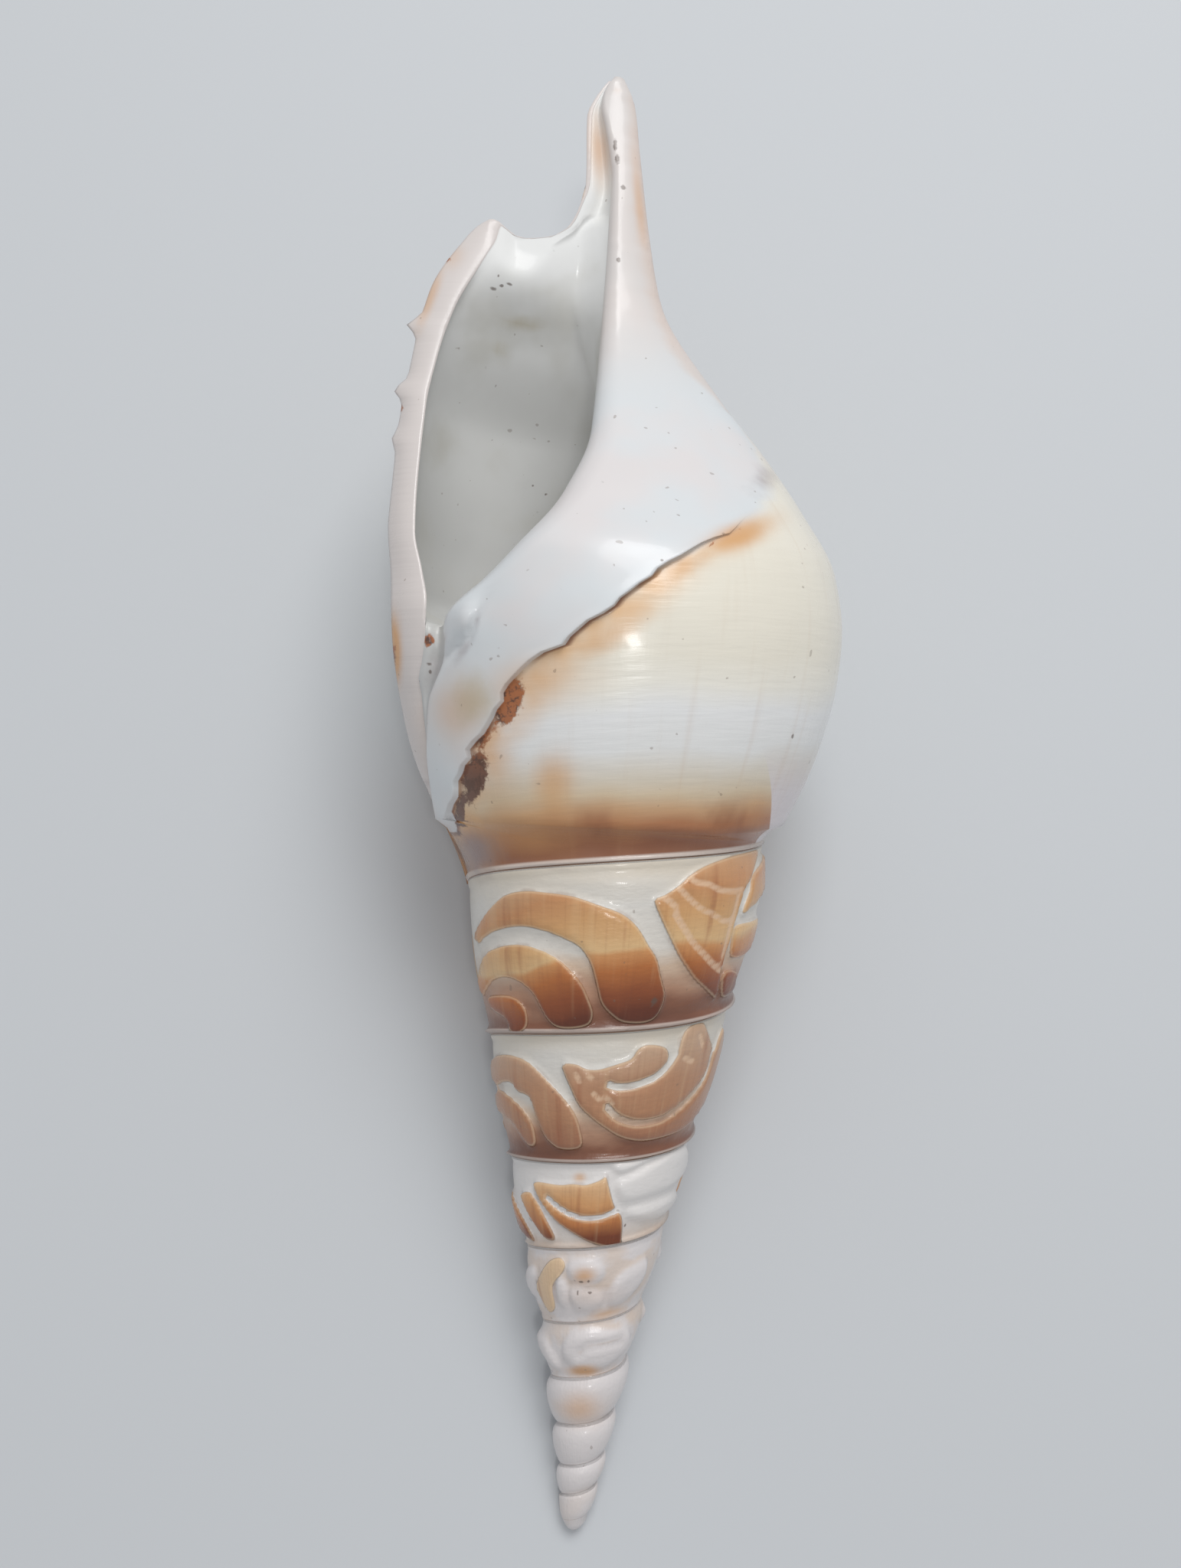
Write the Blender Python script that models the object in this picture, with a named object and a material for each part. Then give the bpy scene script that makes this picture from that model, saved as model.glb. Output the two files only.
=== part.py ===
"""A tibia shell with a carved spire, lying on its belly with the mouth up.

It grew as one piece, so it is one closed solid. The shell is worked out in its own frame, in
millimetres: Y runs along the coil axis from the apex to the tip of the canal, X is to the right and
Z is towards the side of the mouth. It is then tipped until its belly rests on a small flat spot.
"""
import math

import bmesh
import bpy
import numpy as np
from mathutils import Matrix

for old in list(bpy.data.objects):
    bpy.data.objects.remove(old)

MM = 0.001

# How the shell lies: the apex hangs lower than the canal, and the belly is worn flat where it rests
TIP_DEG = 13.35
WORN_DEPTH = 0.5

# The seam between the whorls: (turns, height above the apex), read at each half turn.
# Turn 0 is the left side, where the last whorl starts. One turn later it ends under the outer lip.
SEAM_HEIGHTS = [
    (-9.1, 0.9), (-8.5, 2.1), (-8.0, 3.6), (-7.5, 5.2), (-7.0, 6.6), (-6.5, 8.3), (-6.0, 10.7),
    (-5.5, 12.7), (-5.0, 15.4), (-4.5, 17.9), (-4.0, 21.0), (-3.5, 24.1), (-3.0, 28.4), (-2.5, 32.1),
    (-2.0, 37.2), (-1.5, 40.8), (-1.0, 49.3), (-0.5, 54.4), (0.0, 64.7), (0.5, 70.9), (0.75, 73.8),
    (1.0, 74.0),
]
TURNS = 9
LAST_SEAM_START = -0.022

# The spire as (height, value): its mean radius, and how far its middle lies to the right
SPIRE_RADII = [
    (0.0, 1.25), (5.0, 2.05), (10.0, 2.9), (20.0, 4.95), (30.0, 7.35), (45.0, 10.9), (58.0, 13.95),
    (66.0, 15.5),
]
SPIRE_MIDDLE_X = [(0.0, 0.0), (8.0, 0.3), (18.0, 0.3), (30.0, 0.0)]
APEX_HEIGHT = 2.4
# Across a whorl: (share of its width, how far it stands out), for a whorl of WHORL_RADIUS
WHORL_RADIUS = 12.0
WHORL_PROFILE = [(0.0, -0.45), (0.04, 0.2), (0.12, 0.0), (0.45, 0.3), (0.85, 0.0), (1.0, -0.45)]
# The spire widens where it turns into the last whorl
LAST_SWELL = 1.5
LAST_SWELL_FROM = -0.35

# The last whorl, the mouth and the canal, as (height, value)
RIGHT_SIDE = [
    (64.0, 15.0), (70.9, 16.5), (77.2, 19.2), (82.0, 20.7), (86.9, 21.7), (91.7, 22.0), (98.1, 21.0),
    (104.3, 17.5), (109.7, 13.7), (116.7, 7.9), (126.0, 1.5), (132.5, -0.1), (142.2, -1.8),
    (147.5, -2.7), (150.0, -3.9),
]
LEFT_SIDE = [
    (64.0, -15.4), (68.6, -17.0), (72.6, -19.0), (75.3, -20.3), (78.7, -21.4), (86.8, -23.0),
    (94.3, -23.8), (100.9, -24.7), (109.0, -24.7), (117.9, -24.0), (125.6, -22.7), (130.9, -19.9),
    (134.0, -17.0), (135.6, -8.9), (138.7, -7.3), (145.9, -7.6), (148.0, -6.8), (150.0, -5.4),
]
FRONT_HEIGHT = [
    (64.0, 15.2), (70.0, 16.6), (75.0, 18.0), (84.0, 20.3), (90.0, 21.0), (96.0, 20.2), (102.0, 17.0),
    (108.0, 12.5), (114.0, 8.6), (119.0, 5.8), (124.0, 4.0), (129.0, 2.9), (138.0, 2.0), (150.0, 1.2),
]
BACK_DEPTH = [
    (64.0, 15.2), (70.0, 16.8), (76.0, 18.8), (84.0, 21.2), (91.0, 22.4), (98.0, 22.2), (104.0, 20.5),
    (110.0, 17.8), (116.0, 14.6), (122.0, 11.2), (128.0, 8.2), (134.0, 5.8), (138.0, 4.0), (144.0, 2.8),
    (150.0, 1.2),
]
# The columella's edge, which is the mouth's right side, and below it the left edge of the callus flap
COLUMELLA_X = [
    (70.0, -17.8), (76.0, -18.5), (80.0, -18.5), (83.0, -18.0), (85.0, -17.0), (90.0, -16.9),
    (93.0, -14.0), (97.4, -10.0), (103.0, -6.8), (110.3, -4.7), (124.0, -4.5), (138.0, -4.7),
    (150.0, -4.7),
]
# The inner margin of the outer lip: its place across, and its height above the coil axis
LIP_INNER_X = [
    (70.0, -18.2), (73.2, -18.7), (79.0, -19.2), (84.0, -19.9), (91.0, -19.8), (95.0, -20.5),
    (99.0, -21.6), (112.7, -21.9), (118.7, -21.3), (124.3, -19.9), (128.6, -18.0), (134.0, -15.0),
    (135.6, -8.0), (138.7, -6.3), (146.0, -6.5), (150.0, -5.1),
]
LIP_INNER_Z = [
    (70.0, 2.0), (73.2, 5.4), (79.0, 9.4), (84.0, 11.2), (90.0, 11.6), (95.0, 10.2), (105.8, 6.8),
    (118.7, 3.4), (130.0, 1.9), (138.0, 0.6), (150.0, 0.2),
]
LIP_OUTER_SHARE = 0.75
# Teeth on the lip's outer edge: height, how far each stands out, and its half width
LIP_TEETH = [(121.8, 1.3, 0.8), (114.6, 1.1, 0.9), (109.2, 0.5, 0.9)]
# The callus covers the front to the left of this line and stands up from the whorl
CALLUS_EDGE_X = [
    (70.0, -15.9), (74.1, -15.6), (78.4, -13.8), (83.8, -11.9), (86.5, -8.4), (90.4, -2.6), (96.3, 4.0),
    (100.4, 9.4), (105.2, 12.4), (112.0, 11.0), (120.0, 2.5), (130.0, -1.2), (150.0, -3.9),
]
CALLUS_THICKNESS = 0.7
CALLUS_FADE = (100.0, 110.0)

WALL = 2.0
GROOVE_DEPTH = [(71.0, 0.2), (74.0, 1.0), (84.0, 2.6), (134.0, 3.4), (141.0, 2.0), (150.0, 0.3)]
HOLLOW_SHARE = [(83.0, 0.0), (92.0, 1.0), (128.0, 1.0), (135.0, 0.0)]
UNDERCUT = [(90.0, 6.0), (98.0, 11.0), (106.0, 8.0), (114.0, 3.0), (124.0, 1.0)]
# The front edge of the lip sags between its corner and the canal
BAY_SAG = 2.4
BAY_MIDDLE_X = -12.2
BAY_HALF_WIDTH = 4.8
BAY_LEVELS = (126.0, 134.0, 136.0)

# How finely the solid is divided
STEPS_PER_TURN = 40
WHORL_ROWS = 7
CALLUS_STEPS = 9
HOLLOW_STEPS = 9
SEPTUM_STEPS = 5
FIRST_LEVEL = 71.0
SEAM_SHARES = [0.08, 0.25, 0.6]
LEVELS = [
    71.0, 73.0, 75.5, 78.5, 82.0, 85.5, 88.5, 91.0, 94.0, 97.0, 100.0, 103.0, 106.0, 108.0, 109.2,
    110.4, 112.5, 113.5, 114.6, 115.7, 118.0, 120.7, 121.8, 122.9, 125.5, 128.5, 131.0, 133.0, 134.0,
    134.8, 135.6, 137.2, 140.0, 143.5, 146.5, 148.6, 149.7,
]
LIFT_ABOVE_SEAM = 2.0
LIFT_ENDS_AT = 90.0

SHELL_COLOUR = (0.83, 0.72, 0.60, 1.0)
SHELL_ROUGHNESS = 0.3


def smooth_line(points):
    """A smooth function through (place, value) points that doesn't overshoot between them."""
    places, values = np.array(points, float).T
    gaps = np.diff(places)
    chords = np.diff(values) / gaps
    slopes = np.concatenate([chords[:1], np.zeros(len(chords) - 1), chords[-1:]])
    same_way = chords[:-1] * chords[1:] > 0
    before, after = np.where(same_way, [chords[:-1], chords[1:]], 1.0)
    weight_before = 2 * gaps[1:] + gaps[:-1]
    weight_after = gaps[1:] + 2 * gaps[:-1]
    mean = (weight_before + weight_after) / (weight_before / before + weight_after / after)
    slopes[1:-1] = np.where(same_way, mean, 0.0)

    def value(place):
        place = np.clip(place, places[0], places[-1])
        i = np.clip(np.searchsorted(places, place) - 1, 0, len(gaps) - 1)
        s = (place - places[i]) / gaps[i]
        start = values[i] * (1 + 2 * s) + slopes[i] * gaps[i] * s
        end = values[i + 1] * (3 - 2 * s) + slopes[i + 1] * gaps[i] * (s - 1)
        return start * (1 - s) ** 2 + end * s * s

    return value


def eased(low, high, value):
    """0 below low, 1 above high, and a smooth step between them."""
    s = np.clip((value - low) / (high - low), 0.0, 1.0)
    return s * s * (3 - 2 * s)


seam_height = smooth_line(SEAM_HEIGHTS)
spire_mean_radius = smooth_line(SPIRE_RADII)
spire_middle_x = smooth_line(SPIRE_MIDDLE_X)
whorl_profile = smooth_line(WHORL_PROFILE)
right_side = smooth_line(RIGHT_SIDE)
left_side = smooth_line(LEFT_SIDE)
front_height = smooth_line(FRONT_HEIGHT)
back_depth = smooth_line(BACK_DEPTH)
columella_x = smooth_line(COLUMELLA_X)
lip_inner_x = smooth_line(LIP_INNER_X)
lip_inner_z = smooth_line(LIP_INNER_Z)
callus_edge_x = smooth_line(CALLUS_EDGE_X)
groove_depth = smooth_line(GROOVE_DEPTH)
hollow_share = smooth_line(HOLLOW_SHARE)
undercut = smooth_line(UNDERCUT)


def turn_angle(turns):
    """The angle round the coil axis, from X towards Z. The shell grows from left to right in front."""
    return math.pi - 2 * math.pi * turns


def spire_radius(height):
    """The spire's mean radius, rounded off at the apex."""
    below = np.clip(1 - height / APEX_HEIGHT, 0.0, 1.0)
    return spire_mean_radius(height) * np.sqrt(1 - below**2)


def spire_points(turns, share):
    """Points of the spire's skin at a growth turn and a share of the whorl's width."""
    low, high = seam_height(turns), seam_height(turns + 1)
    height = low + (high - low) * share
    mean = spire_radius(height)
    last = eased(LAST_SWELL_FROM, LAST_SEAM_START, turns)
    radius = mean * (1 + whorl_profile(share) / WHORL_RADIUS) + last * LAST_SWELL * share**0.8
    # the first half turn grows out of the cone between the apex and its own end
    first = LAST_SEAM_START - TURNS
    cone = height * spire_radius(seam_height(first + 1)) / seam_height(first + 1)
    grown = eased(first, first + 0.5, turns)
    radius = cone + (radius - cone) * grown
    angle = turn_angle(turns)
    across = spire_middle_x(height) + radius * np.cos(angle)
    return np.stack([across, height, radius * np.sin(angle)], -1)


def middle_and_half_width(height):
    """The middle and the half width of the last whorl between its two silhouettes."""
    right, left = right_side(height), left_side(height)
    return (right + left) / 2, (right - left) / 2


def skin_points(angle, height):
    """Points of the last whorl's skin: four quarter ellipses round the section's middle."""
    middle, half = middle_and_half_width(height)
    across = middle + half * np.cos(angle)
    depth = np.where(np.sin(angle) > 0, front_height(height), back_depth(height))
    return np.stack([across, height + 0 * across, depth * np.sin(angle)], -1)


def front_angle(across, height):
    """The angle on the front of the skin that lies this far across."""
    middle, half = middle_and_half_width(height)
    return np.arccos(np.clip((across - middle) / half, -0.995, 0.995))


def level_angles(level):
    """Angles of the skin's columns at a level: the callus, its step, then round to the left side."""
    start = front_angle(columella_x(level), level)
    edge = np.minimum(front_angle(callus_edge_x(level), level), start - 0.05)
    _, half = middle_and_half_width(level)
    step = edge - 0.9 / np.maximum(half, 4.0)
    callus = start + (edge - start) * np.linspace(0, 1, CALLUS_STEPS + 1)
    whorl = step + (-math.pi - step) * np.linspace(0, 1, STEPS_PER_TURN - CALLUS_STEPS)
    return np.concatenate([callus, whorl])


def lifted(level, angle):
    """Heights of a level's columns: near the seam they are lifted at the back, to stay above it."""
    turns = (math.pi - angle) / (2 * math.pi)
    above = seam_height(turns) + LIFT_ABOVE_SEAM - FIRST_LEVEL
    near_lip = 1 - 0.85 * eased(0.86, 1.0, turns)
    fade = 1 - eased(FIRST_LEVEL, LIFT_ENDS_AT, level)
    return level + np.maximum(above, 0.0) * near_lip * fade


def tooth_reach(height):
    """How far the teeth stand out of the lip at a height."""
    return sum(reach * np.exp(-(((height - at) / half) ** 2)) for at, reach, half in LIP_TEETH)


def level_loop(level):
    """One closed loop round the shell's wall: skin, lip edge, lip margin, hollow and septum."""
    angles = level_angles(level)
    skin = skin_points(angles, lifted(level, angles))
    callus = np.arange(len(angles)) <= CALLUS_STEPS
    thick = CALLUS_THICKNESS * (1 - eased(*CALLUS_FADE, level)) * eased(FIRST_LEVEL, FIRST_LEVEL + 1, level)
    outward = np.stack([np.cos(angles), 0 * angles, np.sin(angles)], -1)
    skin += (thick * callus)[:, None] * outward
    height = skin[-1, 1]

    inner = np.array([lip_inner_x(level), height, lip_inner_z(level)])
    outer = np.array([left_side(level) - tooth_reach(level), height, LIP_OUTER_SHARE * inner[2]])
    crown = (inner + outer) / 2 + np.array([-0.1, 0.0, 0.35 * min(1.0, inner[2] / 4)])
    columella = skin[0]

    steps = np.linspace(0, 1, HOLLOW_STEPS + SEPTUM_STEPS + 1)[1:-1, None]
    width = max(inner[0] - columella[0], columella[0] - inner[0])
    sink = min(groove_depth(level), 0.2 + 1.6 * width)
    groove = inner + (columella - inner) * steps
    groove[:, 2] -= sink * np.sin(math.pi * steps[:, 0])

    middle, half = middle_and_half_width(level)
    reach = (columella[0] + undercut(level) - middle) / half
    deep_angle = -np.arccos(np.clip(reach, -0.9, 0.9))
    wall_angles = np.linspace(-math.pi, deep_angle, HOLLOW_STEPS + 1)[1:]
    side = max(half - WALL, 0.4 * half)
    depth = max(back_depth(level) - WALL, 0.4 * back_depth(level))
    wall = np.stack(
        [middle + side * np.cos(wall_angles), 0 * wall_angles + height, depth * np.sin(wall_angles)], -1
    )
    deep = wall[-1]
    bend = np.array([columella[0] + 0.6, height, 0.35 * deep[2]])
    s = np.linspace(0, 1, SEPTUM_STEPS + 1)[1:-1, None]
    septum = deep * (1 - s) ** 2 + bend * 2 * s * (1 - s) + columella * s**2
    hollow = np.concatenate([wall, septum])
    share = hollow_share(level)
    return np.concatenate([skin, [outer, crown, inner], groove * (1 - share) + hollow * share])


def bay_sag(points):
    """Lowers the front edge of the lip between its corner and the canal."""
    across = np.clip(1 - ((points[..., 0] - BAY_MIDDLE_X) / BAY_HALF_WIDTH) ** 2, 0.0, 1.0)
    start, full, end = BAY_LEVELS
    along = eased(start, full, points[..., 1]) * (1 - eased(full + 1, end + 2, points[..., 1]))
    points[..., 1] -= BAY_SAG * across * along
    return points


def blend_round_axis(first, last, share):
    """Points between two loops, taken in radius, angle and height so that they stay round."""
    ring = []
    for loop in (first, last):
        angle = np.unwrap(np.arctan2(loop[:, 2], loop[:, 0]))
        ring.append(np.stack([np.hypot(loop[:, 0], loop[:, 2]), angle, loop[:, 1]], -1))
    turns_apart = np.round((ring[0][0, 1] - ring[1][0, 1]) / (2 * math.pi))
    ring[1][:, 1] += turns_apart * 2 * math.pi
    radius, angle, height = (ring[0] + (ring[1] - ring[0]) * share).T
    return np.stack([radius * np.cos(angle), height, radius * np.sin(angle)], -1)


def even_spread(points, count):
    """The same line with count points, spread evenly by number."""
    at = np.linspace(0, len(points) - 1, count)
    return np.stack([np.interp(at, np.arange(len(points)), points[:, i]) for i in range(3)], -1)


class ShellMesh:
    """Gathers the vertices and faces of the shell."""

    def __init__(self):
        self.points = []
        self.faces = []

    def add(self, points):
        first = len(self.points)
        self.points.extend(map(tuple, points))
        return list(range(first, len(self.points)))

    def band(self, lower, upper):
        """Joins two closed loops with the same number of points."""
        count = len(lower)
        for i in range(count):
            j = (i + 1) % count
            self.faces.append((lower[i], lower[j], upper[j], upper[i]))

    def zip_lines(self, lower, upper):
        """Joins two open lines with different numbers of points by triangles."""
        i = j = 0
        while i < len(lower) - 1 or j < len(upper) - 1:
            next_lower = (i + 1) / (len(lower) - 1)
            next_upper = (j + 1) / (len(upper) - 1)
            if j == len(upper) - 1 or (i < len(lower) - 1 and next_lower <= next_upper):
                self.faces.append((lower[i], lower[i + 1], upper[j]))
                i += 1
            else:
                self.faces.append((lower[i], upper[j + 1], upper[j]))
                j += 1


def add_spire(mesh):
    """The spire as one long strip, each turn joined to the one before along the seam.

    It returns the loop on which the last whorl stands: the last seam, then the strip's end.
    """
    last = TURNS * STEPS_PER_TURN
    turns = LAST_SEAM_START - TURNS + np.arange(last + STEPS_PER_TURN + 1) / STEPS_PER_TURN
    shares = np.linspace(0, 1, WHORL_ROWS + 1)
    rows = [mesh.add(spire_points(turns[: last + 1], share)) for share in shares[:-1]]
    seam = rows[0] + mesh.add(spire_points(turns[last - STEPS_PER_TURN + 1 : last + 1], 1.0))

    def vertex(step, row):
        return seam[step + STEPS_PER_TURN] if row == WHORL_ROWS else rows[row][step]

    for step in range(last):
        for row in range(WHORL_ROWS):
            corners = [(step, row), (step + 1, row), (step + 1, row + 1), (step, row + 1)]
            mesh.faces.append(tuple(vertex(*corner) for corner in corners))

    apex = mesh.add([(0.0, 0.0, 0.0)])[0]
    for step in range(STEPS_PER_TURN - 1):
        mesh.faces.append((apex, vertex(step + 1, 0), vertex(step, 0)))
    fan = vertex(STEPS_PER_TURN - 1, 0)
    start = [apex] + [vertex(0, row) for row in range(WHORL_ROWS + 1)]
    for lower, upper in zip(start, start[1:]):
        mesh.faces.append((fan, lower, upper))
    return seam[last:], [vertex(last, row) for row in range(WHORL_ROWS, -1, -1)]


def add_last_whorl(mesh, seam, strip_end):
    """The last whorl with the mouth and the canal, as loops from the seam to the canal's tip."""
    first = level_loop(LEVELS[0])
    columns = STEPS_PER_TURN + 1
    corners = np.array([mesh.points[i] for i in seam + strip_end[1:-1]])
    end_line = np.array([mesh.points[i] for i in strip_end])
    spread = even_spread(end_line, len(first) - columns + 2)[1:-1]
    ground = np.concatenate([corners[:columns], spread])
    loops = []
    for share in SEAM_SHARES:
        loop = blend_round_axis(ground, first, share)
        edge = 0.5 * (1 - share) if share == SEAM_SHARES[0] else 0.0
        outward = loop * [1, 0, 1] / np.hypot(loop[:, 0], loop[:, 2])[:, None]
        loop[:columns] += edge * outward[:columns]
        loops.append(loop)
    loops += [bay_sag(level_loop(level)) for level in LEVELS]

    rings = [mesh.add(loop) for loop in loops]
    for lower, upper in zip(rings, rings[1:]):
        mesh.band(lower, upper)
    for i in range(columns - 1):
        mesh.faces.append((seam[i], seam[i + 1], rings[0][i + 1], rings[0][i]))
    mesh.zip_lines(strip_end, rings[0][columns - 1 :] + rings[0][:1])

    tip = mesh.add([np.mean(loops[-1], 0) + [0.0, 0.5, 0.0]])[0]
    last = rings[-1]
    for i, vertex in enumerate(last):
        mesh.faces.append((vertex, last[(i + 1) % len(last)], tip))


def shell_material():
    """Polished shell, between its white and its brown layers."""
    material = bpy.data.materials.new("polished_shell")
    material.use_nodes = True
    shader = material.node_tree.nodes["Principled BSDF"]
    shader.inputs["Base Color"].default_value = SHELL_COLOUR
    shader.inputs["Roughness"].default_value = SHELL_ROUGHNESS
    shader.inputs["Metallic"].default_value = 0.0
    return material


def lay_down(mesh):
    """Tips the shell on its belly, wears the flat spot and puts the origin under its middle."""
    tipping = Matrix.Rotation(math.radians(TIP_DEG), 3, "X")
    bmesh.ops.rotate(mesh, cent=(0, 0, 0), matrix=tipping, verts=mesh.verts)
    lowest = min(v.co.z for v in mesh.verts)
    worn = lowest + WORN_DEPTH * MM
    geometry = mesh.verts[:] + mesh.edges[:] + mesh.faces[:]
    cut = bmesh.ops.bisect_plane(
        mesh, geom=geometry, dist=1e-7, plane_co=(0, 0, worn), plane_no=(0, 0, 1), clear_inner=True
    )
    rim = [e for e in cut["geom_cut"] if isinstance(e, bmesh.types.BMEdge)]
    bmesh.ops.holes_fill(mesh, edges=rim, sides=0)
    middle = [
        (min(v.co[i] for v in mesh.verts) + max(v.co[i] for v in mesh.verts)) / 2 for i in range(2)
    ]
    bmesh.ops.translate(mesh, vec=(-middle[0], -middle[1], -worn), verts=mesh.verts)


def build_shell():
    shape = ShellMesh()
    seam, strip_end = add_spire(shape)
    add_last_whorl(shape, seam, strip_end)

    data = bpy.data.meshes.new("shell")
    data.from_pydata([tuple(MM * c for c in p) for p in shape.points], [], shape.faces)
    mesh = bmesh.new()
    mesh.from_mesh(data)
    bmesh.ops.triangulate(mesh, faces=mesh.faces[:])
    bmesh.ops.recalc_face_normals(mesh, faces=mesh.faces[:])
    lay_down(mesh)
    bmesh.ops.triangulate(mesh, faces=mesh.faces[:])
    mesh.to_mesh(data)
    mesh.free()
    data.shade_smooth()
    data.materials.append(shell_material())
    shell = bpy.data.objects.new("shell", data)
    bpy.context.scene.collection.objects.link(shell)


build_shell()
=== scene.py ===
import math

import bpy
import numpy as np
from mathutils import Matrix, Vector


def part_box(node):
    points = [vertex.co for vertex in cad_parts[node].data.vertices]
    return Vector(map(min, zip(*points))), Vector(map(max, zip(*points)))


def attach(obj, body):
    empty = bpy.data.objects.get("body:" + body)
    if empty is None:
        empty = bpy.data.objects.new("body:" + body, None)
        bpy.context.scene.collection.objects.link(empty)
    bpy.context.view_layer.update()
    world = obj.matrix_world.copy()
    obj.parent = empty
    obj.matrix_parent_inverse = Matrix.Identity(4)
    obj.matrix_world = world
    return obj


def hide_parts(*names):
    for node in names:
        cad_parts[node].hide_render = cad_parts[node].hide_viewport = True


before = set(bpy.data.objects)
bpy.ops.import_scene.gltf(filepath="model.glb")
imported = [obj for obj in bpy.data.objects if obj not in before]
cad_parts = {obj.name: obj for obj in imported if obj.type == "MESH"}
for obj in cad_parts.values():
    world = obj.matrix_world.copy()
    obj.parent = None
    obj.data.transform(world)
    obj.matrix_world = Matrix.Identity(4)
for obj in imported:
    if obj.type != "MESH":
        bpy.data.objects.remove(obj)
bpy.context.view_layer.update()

MM = 0.001

# How the shell lies: the apex hangs lower than the canal
TIP_DEG = 13.35

# The photo, and where its camera stood in the shell's own frame
PHOTO_WIDTH, PHOTO_HEIGHT = 1542, 2048
FOCAL_PX = 1900.0
CAMERA_SPOT = np.array([-2.9, 69.6, 150.5])
CAMERA_PITCH_DEG = 2.3
CAMERA_ROLL_DEG = 3.55
SENSOR_MM, NEAREST_M = 36.0, 0.001

# The seam between the whorls: (turns, height above the apex), read at each half turn.
# Turn 0 is the left side, where the last whorl starts. One turn later it ends under the outer lip.
SEAM_HEIGHTS = [
    (-9.1, 0.9), (-8.5, 2.1), (-8.0, 3.6), (-7.5, 5.2), (-7.0, 6.6), (-6.5, 8.3), (-6.0, 10.7),
    (-5.5, 12.7), (-5.0, 15.4), (-4.5, 17.9), (-4.0, 21.0), (-3.5, 24.1), (-3.0, 28.4), (-2.5, 32.1),
    (-2.0, 37.2), (-1.5, 40.8), (-1.0, 49.3), (-0.5, 54.4), (0.0, 64.7), (0.5, 70.9), (0.75, 73.8),
    (1.0, 74.0),
]
# The spire's strip winds through this many turns, and ends where the last seam starts, at this turn
TURNS = 9
LAST_SEAM_START = -0.022

# The spire as (height, value): its mean radius, and how far its middle lies to the right
SPIRE_RADII = [
    (0.0, 1.25), (5.0, 2.05), (10.0, 2.9), (20.0, 4.95), (30.0, 7.35), (45.0, 10.9), (58.0, 13.95),
    (66.0, 15.5),
]
SPIRE_MIDDLE_X = [(0.0, 0.0), (8.0, 0.3), (18.0, 0.3), (30.0, 0.0)]
# The cone is rounded off below this height
APEX_HEIGHT = 2.4
# Rings that round the apex off below the first seam, as shares of its height
CAP_SHARES = np.array([0.06, 0.25, 0.56])
# Across a whorl: (share of its width, how far it stands out). The lower whorls are flat-sided, with a
# thread on the seam, and the upper ones swell out above a deep seam.
FLAT_PROFILE = [
    (0.0, -0.5), (0.016, 0.14), (0.03, 0.04), (0.05, -0.02), (0.45, 0.3), (0.85, 0.05), (0.96, -0.2),
    (1.0, -0.5),
]
ROUND_PROFILE = [
    (0.0, -0.5), (0.08, -0.2), (0.25, 0.08), (0.5, 0.26), (0.72, 0.2), (0.88, -0.08), (1.0, -0.5),
]
# The profile is the swelling one at the first height and the flat-sided one at the second. Its swell is
# weaker at the apex and full from the height that follows.
ROUND_TO_FLAT = (24.0, 34.0)
SWELL_AT_APEX, FULL_SWELL_HEIGHT = 0.45, 14.0
# The spire widens where it turns into the last whorl, more towards the upper edge of the strip
LAST_SWELL = 1.5
LAST_SWELL_FROM = -0.35
LAST_SWELL_CURVE = 0.8
# The strip grows out of the bare cone over this much of its first turn
GROWN_AFTER = 0.5

# The last whorl, the mouth and the canal, as (height, value)
RIGHT_SIDE = [
    (64.0, 15.0), (70.9, 16.5), (77.2, 19.2), (82.0, 20.7), (86.9, 21.7), (91.7, 22.0), (98.1, 21.0),
    (104.3, 17.5), (109.7, 13.7), (116.7, 7.9), (126.0, 1.5), (132.5, -0.1), (142.2, -1.8),
    (147.5, -2.7), (150.0, -3.9),
]
LEFT_SIDE = [
    (64.0, -15.4), (68.6, -17.0), (72.6, -19.0), (75.3, -20.3), (78.7, -21.4), (86.8, -23.0),
    (94.3, -23.8), (100.9, -24.7), (109.0, -24.7), (117.9, -24.0), (125.6, -22.7), (130.9, -19.9),
    (134.0, -17.0), (135.6, -8.9), (138.7, -7.3), (145.9, -7.6), (148.0, -6.8), (150.0, -5.4),
]
# Towards the canal the front is rounded as if the left side drew in smoothly, past the bay
FRONT_LEFT_SIDE = LEFT_SIDE[:10] + [
    (126.0, -18.5), (132.0, -12.5), (138.0, -8.3), (145.9, -7.6), (148.0, -6.8), (150.0, -5.4),
]
FRONT_HEIGHT = [
    (64.0, 15.2), (70.0, 16.6), (75.0, 18.0), (84.0, 20.3), (90.0, 21.0), (96.0, 20.2), (102.0, 17.0),
    (108.0, 12.5), (114.0, 8.6), (119.0, 5.8), (124.0, 4.0), (129.0, 2.9), (138.0, 2.0), (150.0, 1.2),
]
BACK_DEPTH = [
    (64.0, 15.2), (70.0, 16.8), (76.0, 18.8), (84.0, 21.2), (91.0, 22.4), (98.0, 22.2), (104.0, 20.5),
    (110.0, 17.8), (116.0, 14.6), (122.0, 11.2), (128.0, 8.2), (134.0, 5.8), (138.0, 4.0), (144.0, 2.8),
    (150.0, 1.2),
]
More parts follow.
